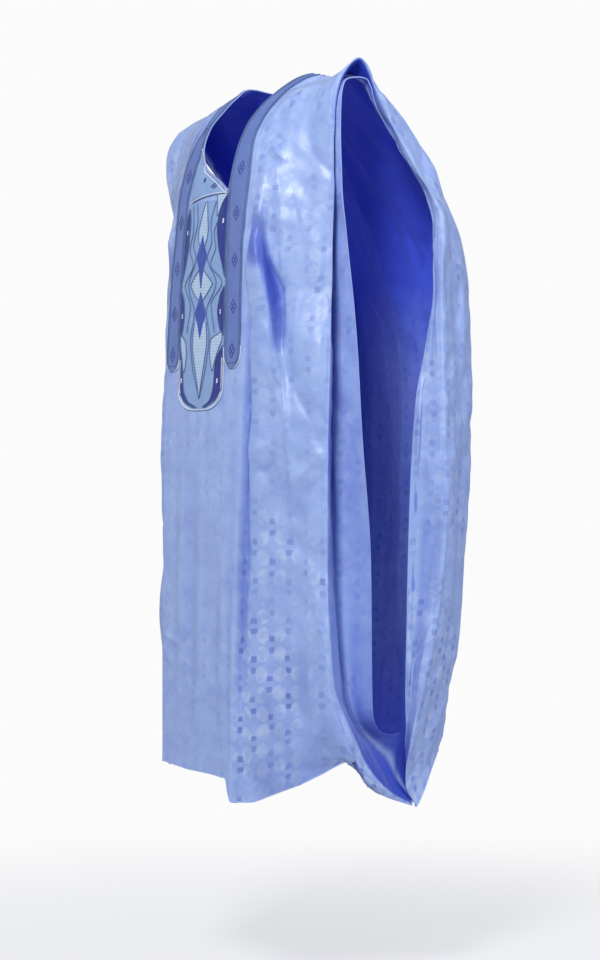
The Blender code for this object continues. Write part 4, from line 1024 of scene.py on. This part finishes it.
# Rayon embroidery thread laid in satin stitch: fine parallel threads with a soft shine
def makeThread(name, tones, pitch, bands, roughness=0.42, rungs=0.0):
    material, tree, shader = newMaterial(name, {
        "Roughness": roughness, "Specular IOR Level": 0.5, "Sheen Weight": 0.25, "Sheen Roughness": 0.35,
        "Coat Weight": 0.08, "Coat Roughness": 0.3})
    uv = addNode(tree, "ShaderNodeUVMap", {"uv_map": "cloth"}).outputs[0]
    where = addNode(tree, "ShaderNodeTexCoord").outputs["Object"]
    laid = {"Scale": 0.314 / (pitch * mm), "Distortion": 1.0, "Detail": 1.0, "bands_direction": bands}
    threads = addNode(tree, "ShaderNodeTexWave", laid, {"Vector": uv}).outputs[0]
    tone = blend(tree, ramp(tree, cloudy(tree, where, 45.0, 3.0).outputs[0], 0.35, 0.65), tones[0], tones[1])
    colour = blend(tree, ramp(tree, threads, 0.0, 0.45, 0.55, 0.0), tone, tones[2])
    if rungs:
        ladder = addNode(tree, "ShaderNodeTexWave", {"Scale": 0.314 / (rungs * mm), "bands_direction": "Y"},
                         {"Vector": uv}).outputs[0]
        colour = blend(tree, ramp(tree, ladder, 0.12, 0.3, 0.55, 0.0), colour, tones[2])
    tree.links.new(colour, shader.inputs["Base Color"])
    tree.links.new(bumped(tree, threads, 0.35, 0.0008), shader.inputs["Normal"])
    return material


slateSatin = makeThread("rayon thread in slate blue satin stitch", ("6780c6", "6f88cc", "5a72b8"), 1.3, "X")
steelSatin = makeThread("rayon thread in light steel blue fill stitch", ("8fb0e2", "98b8e6", "7f9fd4"), 1.3,
                        "X")
navySatin = makeThread("rayon thread in navy satin stitch", ("24338f", "2b3c9c", "1a2670"), 1.2, "Y")
royalSatin = makeThread("rayon thread in royal blue satin stitch", ("3a53b4", "4560be", "2f449c"), 1.2, "Y")
paleLadder = makeThread("cotton thread in pale ladder stitch", ("c4dcf4", "cfe4f8", "93b4dc"), 1.1, "X", 0.5,
                        rungs=5.0)
whiteCord = makeThread("white twisted cotton cord", ("e4ecfb", "eef4ff", "b4c4e8"), 1.4, "Y", 0.55)
slateCord = makeThread("slate blue couched cord", ("56709f", "5f7aac", "40578a"), 1.4, "Y", 0.5)


def makePiece(name, mesh, material, node=None):
    points, faces = mesh[0], mesh[1]
    uvs = mesh[2] if len(mesh) > 2 else [(p[0], p[2]) for p in points]
    piece = addMesh(name, points, faces, [material], uvs)
    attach(piece, "root")
    if node:
        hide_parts(node)
    return piece


def thicken(piece, thickness):
    shell = piece.modifiers.new("thickness", "SOLIDIFY")
    shell.thickness = thickness * mm
    shell.offset = 1
    return piece


# Two embroidered strips down the front, each with a rounded end
strips = {
    "end": 490, "roundFrom": 464, "fromCorner": 5,
    "lift": 0.8, "thickness": 0.7, "edgeCord": 0.75, "endCord": 1.0, "endCordFrom": 452,
    "motifWide": 17, "motifTall": 23, "motifLine": 1.9,
    "motifDownsLeft": (165, 240, 315, 390, 462), "motifDownsRight": (88, 166, 243, 320, 395, 462),
}


def stripShape(inner, cornerTable, sign):
    straight = down[(down > 1) & (down < strips["roundFrom"])]
    at = np.unique(np.concatenate([straight, [1.5, strips["roundFrom"]]]))
    innerX = np.interp(at, [r[0] for r in inner], [r[1] for r in inner])
    outerX = follow(cornerTable, at)[:, 0] - sign * strips["fromCorner"]
    shape = np.column_stack([at, np.minimum(innerX, outerX), np.maximum(innerX, outerX)])
    middle, halfWide = shape[-1, 1:].mean(), (shape[-1, 2] - shape[-1, 1]) / 2
    tall = strips["end"] - strips["roundFrom"]
    for turn in np.linspace(0, math.pi / 2, 12)[1:]:
        wide = halfWide * max(math.cos(turn), 0.03) ** 0.85
        d = strips["roundFrom"] + tall * math.sin(turn)
        shape = np.vstack([shape, [d, middle - wide, middle + wide]])
    return shape


def diamondStrokes(x, d, wide, tall):
    w, t = wide / 2, tall / 2
    ring = [(x, d - t), (x + w, d), (x, d + t), (x - w, d), (x, d - t)]
    inner = [[(x - w * 0.42, d - t * 0.42), (x + w * 0.42, d + t * 0.42)],
             [(x + w * 0.42, d - t * 0.42), (x - w * 0.42, d + t * 0.42)]]
    return [ring[:2], ring[1:3], ring[2:4], ring[3:5]] + inner


for name, inner, corner, sign, downs, node in (
        ("stripLeft", stripInnerLeft, frontLeft["corner"], 1, strips["motifDownsLeft"], "strip_left"),
        ("stripRight", stripInnerRight, frontRight["corner"], -1, strips["motifDownsRight"], "strip_right")):
    shape = stripShape(inner, corner, sign)
    piece = thicken(makePiece(name, laidShapes("front", [shape], strips["lift"], 0.3, 10), slateSatin,
                              node), strips["thickness"])
    top = strips["lift"] + strips["thickness"]
    edgeLines = [outline(shape, 0.6), outline(shape[:-6], 4.2)]
    edges = makePiece(name + "EdgeCords", cordMesh("front", edgeLines, strips["edgeCord"], top), slateCord)
    lower = shape[shape[:, 0] > strips["endCordFrom"]]
    endLine = cordMesh("front", [outline(lower, -1.6)], strips["endCord"], strips["lift"])
    end = makePiece(name + "EndCord", endLine, whiteCord)
    strokes = []
    for d in downs:
        row = shape[np.argmin(abs(shape[:, 0] - d))]
        wide = min(strips["motifWide"], (row[2] - row[1]) * 0.45)
        strokes += diamondStrokes(row[1:].mean(), d, wide, strips["motifTall"])
    diamonds = strokeMesh("front", strokes, strips["motifLine"], top + 0.35)
    motifs = makePiece(name + "Diamonds", diamonds, navySatin)
print("strips laid")

# The tongue: a light field with a chain of lozenges down its middle and navy crescents at its sides.
# Shapes are rows of (distance down, first x, last x) in mm.
tongue = {
    "start": 214, "roundFrom": 516, "end": 555, "fromStrip": 2.5,
    "lift": 0.8, "thickness": 0.7, "cord": 0.85, "edgeFrom": 470,
    "mark": ((-4, 0.6), (-2, 2.2), (0, 1.2), (2, 2.2), (4, 0.6)),      # (distance down, half width)
    "pale": (((214, 1, 5), (240, -6, 11), (262, -11, 16), (276, -10, 15), (292, -2, 7)),
             ((322, 1, 3), (334, -13, 17), (350, -28, 35), (366, -16, 20), (380, 1, 3)),
             ((412, -12, 17), (432, -16, 20), (452, -17, 21), (478, -13, 16), (510, -5, 8), (533, 1, 3))),
    "royal": (((270, 1, 3), (288, -5, 9), (306, -12, 16), (322, -6, 10), (356, 0.5, 3.5)),
              ((362, 1, 3), (382, -6, 10), (398, -12, 16), (414, -6, 10), (438, 1, 3))),
    "navy": (((203, 62, 64), (225, 45, 62), (254, 40, 64), (290, 47, 66), (322, 59, 67), (341, 66, 67.5)),
             ((356, 66, 67.5), (375, 54, 67), (397, 48, 67.5), (418, 52, 67), (436, 65, 67)),
             ((222, -48, -47), (244, -55, -40), (285, -57, -41), (318, -57, -49), (341, -58, -57)),
             ((358, -58, -57), (378, -59, -47), (400, -59, -45), (420, -59, -49), (438, -59, -58)),
             ((452, 66, 67), (480, 47, 66), (516, 44, 66), (540, 34, 50), (551, 12, 22)),
             ((444, -59, -58), (476, -58, -48), (516, -58, -44), (540, -42, -30), (551, -14, -5))),
    "leaves": (((206, 30, 58), (222, 34, 47), (241, 36, 38)),
               ((430, 60, 64), (441, 32, 64), (458, 30, 55), (476, 33, 46), (492, 38, 41)),
               ((430, -57, -54), (445, -56, -38), (462, -54, -36), (478, -50, -38), (492, -44, -42))),
    "marks": ((55, 250), (57, 397), (54, 509), (-48, 262), (-51, 400), (-50, 506)),
    "curves": (((-24, 216), (-16, 250), (-24, 284), (-14, 306), (-34, 350), (-14, 396), (-22, 440),
                (-18, 480), (1, 536)),
               ((30, 216), (22, 250), (28, 284), (18, 306), (44, 350), (18, 396), (27, 440),
                (22, 480), (3, 536)),
               ((-36, 218), (-28, 262), (-36, 290), (-22, 318), (-46, 350), (-26, 384), (-34, 428)),
               ((42, 244), (33, 268), (40, 292), (28, 318), (60, 350), (31, 384), (40, 430))),
}


def smoothPath(points, step=2.0):
    # a smooth curve through (x, distance down)
    data = np.array([(d, x) for x, d in points], float)
    at = np.arange(data[0, 0], data[-1, 0] + step / 2, step)
    return np.column_stack([follow(data, at)[:, 0], at])


def sideOf(table, at):
    return np.interp(at, [r[0] for r in table], [r[1] for r in table])


def onTongue(name, mesh, material):
    return makePiece(name, mesh, material)


at = np.arange(tongue["start"], tongue["roundFrom"] + 1, 3.0)
field = np.column_stack([at, sideOf(stripInnerRight, at) + tongue["fromStrip"],
                         sideOf(stripInnerLeft, at) - tongue["fromStrip"]])
middleX, halfWide = field[-1, 1:].mean(), (field[-1, 2] - field[-1, 1]) / 2
for turn in np.linspace(0, math.pi / 2, 14)[1:]:
    wide = halfWide * max(math.cos(turn), 0.02) ** 0.6
    field = np.vstack([field, [tongue["roundFrom"] + (tongue["end"] - tongue["roundFrom"]) * math.sin(turn),
                               middleX - wide, middleX + wide]])
tonguePiece = thicken(makePiece("tongue", laidShapes("front", [field], tongue["lift"], 0.0, 24), steelSatin,
                                "tongue"), tongue["thickness"])
top = tongue["lift"] + tongue["thickness"] + 0.1
shapes = {name: [filled(t, straight=name == "pale") for t in tongue[name]]
          for name in ("navy", "pale", "leaves", "royal")}
tongueTrim = [
    onTongue("tongueNavyCrescents", laidShapes("front", shapes["navy"], top, 0.5), navySatin),
    onTongue("tonguePaleLozenges", laidShapes("front", shapes["pale"], top, 0.4), paleLadder),
    onTongue("tongueLeaves", laidShapes("front", shapes["leaves"], top, 0.4), paleLadder),
    onTongue("tongueRoyalLozenges", laidShapes("front", shapes["royal"], top + 0.45, 0.4), royalSatin),
]
cords = [outline(shape) for shape in shapes["navy"] + shapes["leaves"] + shapes["pale"]]
cords += [smoothPath(c) for c in tongue["curves"]]
tongueTrim.append(onTongue("tongueOutlineCords", cordMesh("front", cords, tongue["cord"], top), slateCord))
lower = field[field[:, 0] > tongue["edgeFrom"]]
edgeLines = [outline(lower, -1.0), outline(lower, 3.4)]
edgeCord = cordMesh("front", edgeLines, 1.0, tongue["lift"] + 0.4)
tongueTrim.append(onTongue("tongueEdgeCord", edgeCord, whiteCord))
ovals = [[(d + away, x - wide, x + wide) for away, wide in tongue["mark"]] for x, d in tongue["marks"]]
markShapes = [filled(o, 0.7) for o in ovals]
tongueTrim.append(onTongue("tongueWhiteMarks", laidShapes("front", markShapes, top + 1.0, 0.4, 4), whiteCord))
print("tongue laid")

# The neck flap crosses from the wearer's right to its tip by the left strip
flapSizes = {
    "from": -45, "to": 55, "lowerStart": 212, "lowerEnd": 204, "lift": 1.9, "thickness": 0.8, "piping": 1.1,
    "columns": 34, "rows": 13,      # points of its mesh
}
wide, tall = flapSizes["columns"], flapSizes["rows"]
across = np.linspace(flapSizes["from"], flapSizes["to"], wide)
upper = np.interp(across, [r[1] for r in neckSlant], [r[0] for r in neckSlant]) + 1
lowerEdge = np.linspace(flapSizes["lowerStart"], flapSizes["lowerEnd"], wide)
lowerEdge = lowerEdge - 4 * np.sin(np.linspace(0, math.pi, wide))
flapDown = upper + (lowerEdge - upper) * np.linspace(0, 1, tall)[:, None]
flapX = np.repeat(across[None, :], tall, axis=0)
flapPoints = onCloth("front", flapX, flapDown, np.full(flapX.shape, flapSizes["lift"]))
flapFaces = [[i * wide + j, (i + 1) * wide + j, (i + 1) * wide + j + 1, i * wide + j + 1]
             for i in range(tall - 1) for j in range(wide - 1)]
flapUv = np.stack([flapX, flapDown], axis=-1).reshape(-1, 2) * mm
neckFlap = thicken(makePiece("neckFlap", (list(flapPoints.reshape(-1, 3)), flapFaces, flapUv), steelSatin,
                             "neck_flap"), flapSizes["thickness"])
top = flapSizes["lift"] + flapSizes["thickness"]
upperLine = [(x, d) for x, d in zip(across, upper)]
pipings = [[(x, d + 1) for x, d in upperLine], [(x, d + 5.5) for x, d in upperLine[6:]],
           list(zip(across, lowerEdge))]
flapTrim = [makePiece("neckFlapPiping", cordMesh("front", pipings, flapSizes["piping"], top - 0.5), whiteCord)]
dashes = [[(x, d - 0.4), (x, d + 2.4)] for x, d in evenly(upperLine, 5.0)[1:-1]]
flapTrim.append(makePiece("neckFlapDashes", strokeMesh("front", dashes, 1.8, top + 1.3), navySatin))
motifs = diamondStrokes(18, 190, 18, 9) + diamondStrokes(-12, 178, 5, 9)
flapTrim.append(makePiece("neckFlapMotifs", strokeMesh("front", motifs, 1.6, top + 0.2), navySatin))

# The band round the back of the neck
bandSizes = {"lift": 0.8, "dome": 0.2, "columns": 8, "thickness": 0.7, "cord": 0.75, "cordLift": 1.4}
bandRows = filled(neckband, 1.5)
rightRows = np.column_stack([bandRows[:, 0], -bandRows[:, 2], -bandRows[:, 1]])
leftBand, rightBand = (laidShapes("back", [r], bandSizes["lift"], bandSizes["dome"], bandSizes["columns"])
                       for r in (bandRows, rightRows))
bandMesh = (*joinedMeshes([leftBand[:2], rightBand[:2]]), leftBand[2] + rightBand[2])
neckBand = thicken(makePiece("neckBandBack", bandMesh, slateSatin, "neckband_back"),
                   bandSizes["thickness"])
bandLines = [[(a + 1, d) for d, a, b in bandRows], [(b - 1, d) for d, a, b in bandRows]]
bandLines += [[(-x, d) for x, d in line] for line in bandLines]
bandTrim = [makePiece("neckBandCords", cordMesh("back", bandLines, bandSizes["cord"], bandSizes["cordLift"]),
                      slateCord)]
print("flap and neck band laid")

# plain pale floor and soft studio light
studio = {
    "floor": "f6f6f7", "floorDown": -1.5, "floorShows": 0.4,
    "fadeFrom": 0.3, "fadeTo": 2.2, "radius": 2.3,
}
floorMaterial, floorTree, floorShader = newMaterial("matt white painted floor", {
    "Base Color": toLinear(studio["floor"]), "Roughness": 0.9})
fromMiddle = addNode(floorTree, "ShaderNodeTexCoord")
radius = addNode(floorTree, "ShaderNodeVectorMath", {"operation": "LENGTH"},
                 {0: fromMiddle.outputs["Object"]})
fade = addNode(floorTree, "ShaderNodeMapRange", {
    "interpolation_type": "SMOOTHERSTEP", "From Min": studio["fadeFrom"], "From Max": studio["fadeTo"],
    "To Min": studio["floorShows"], "To Max": 0.0}, {0: radius.outputs["Value"]})
floorTree.links.new(fade.outputs[0], floorShader.inputs["Alpha"])
turns = np.linspace(0, 2 * math.pi, 64, False)
ring = [(math.cos(a) * studio["radius"], math.sin(a) * studio["radius"], 0) for a in turns]
floor = addMesh("studioFloor", ring, [list(range(64))], [floorMaterial])
floor.location.z = studio["floorDown"]

lamps = (
    # name, place, aimed at, width, height, watts, colour
    ("keyLight", (2.9, -3.4, 2.7), (0, 0, -0.4), 1.1, 1.3, 210, "ffffff"),
    ("fillLight", (-3.4, -2.6, 0.2), (0, 0, -0.6), 2.4, 2.4, 16, "eef2ff"),
    ("topLight", (1.2, 0.8, 2.4), (0, 0, -0.2), 1.6, 1.6, 10, "ffffff"),
    ("sideLight", (3.2, 2.6, 0.2), (0, 0, -0.7), 1.4, 1.8, 56, "dfe8ff"),
)
for name, place, aim, width, height, watts, tint in lamps:
    light = bpy.data.lights.new(name, "AREA")
    light.shape = "RECTANGLE"
    light.size, light.size_y, light.energy = width, height, watts
    light.color = toLinear(tint)[:3]
    lamp = bpy.data.objects.new(name, light)
    lamp.location = place
    lamp.rotation_euler = (Vector(aim) - Vector(place)).to_track_quat("-Z", "Y").to_euler()
    bpy.context.scene.collection.objects.link(lamp)

world = bpy.data.worlds.new("studio")
bpy.context.scene.world = world
world.use_nodes = True
tree = world.node_tree
tree.nodes.clear()
seen = addNode(tree, "ShaderNodeBackground", {"Color": toLinear("fbfbfc"), "Strength": 1.0})
around = addNode(tree, "ShaderNodeBackground", {"Color": toLinear("eef2ff"), "Strength": 0.34})
ray = addNode(tree, "ShaderNodeLightPath")
both = addNode(tree, "ShaderNodeMixShader", links={
    0: ray.outputs["Is Camera Ray"], 1: around.outputs[0], 2: seen.outputs[0]})
addNode(tree, "ShaderNodeOutputWorld", links={0: both.outputs[0]})
bpy.context.scene.view_settings.view_transform = "Standard"

print("done")
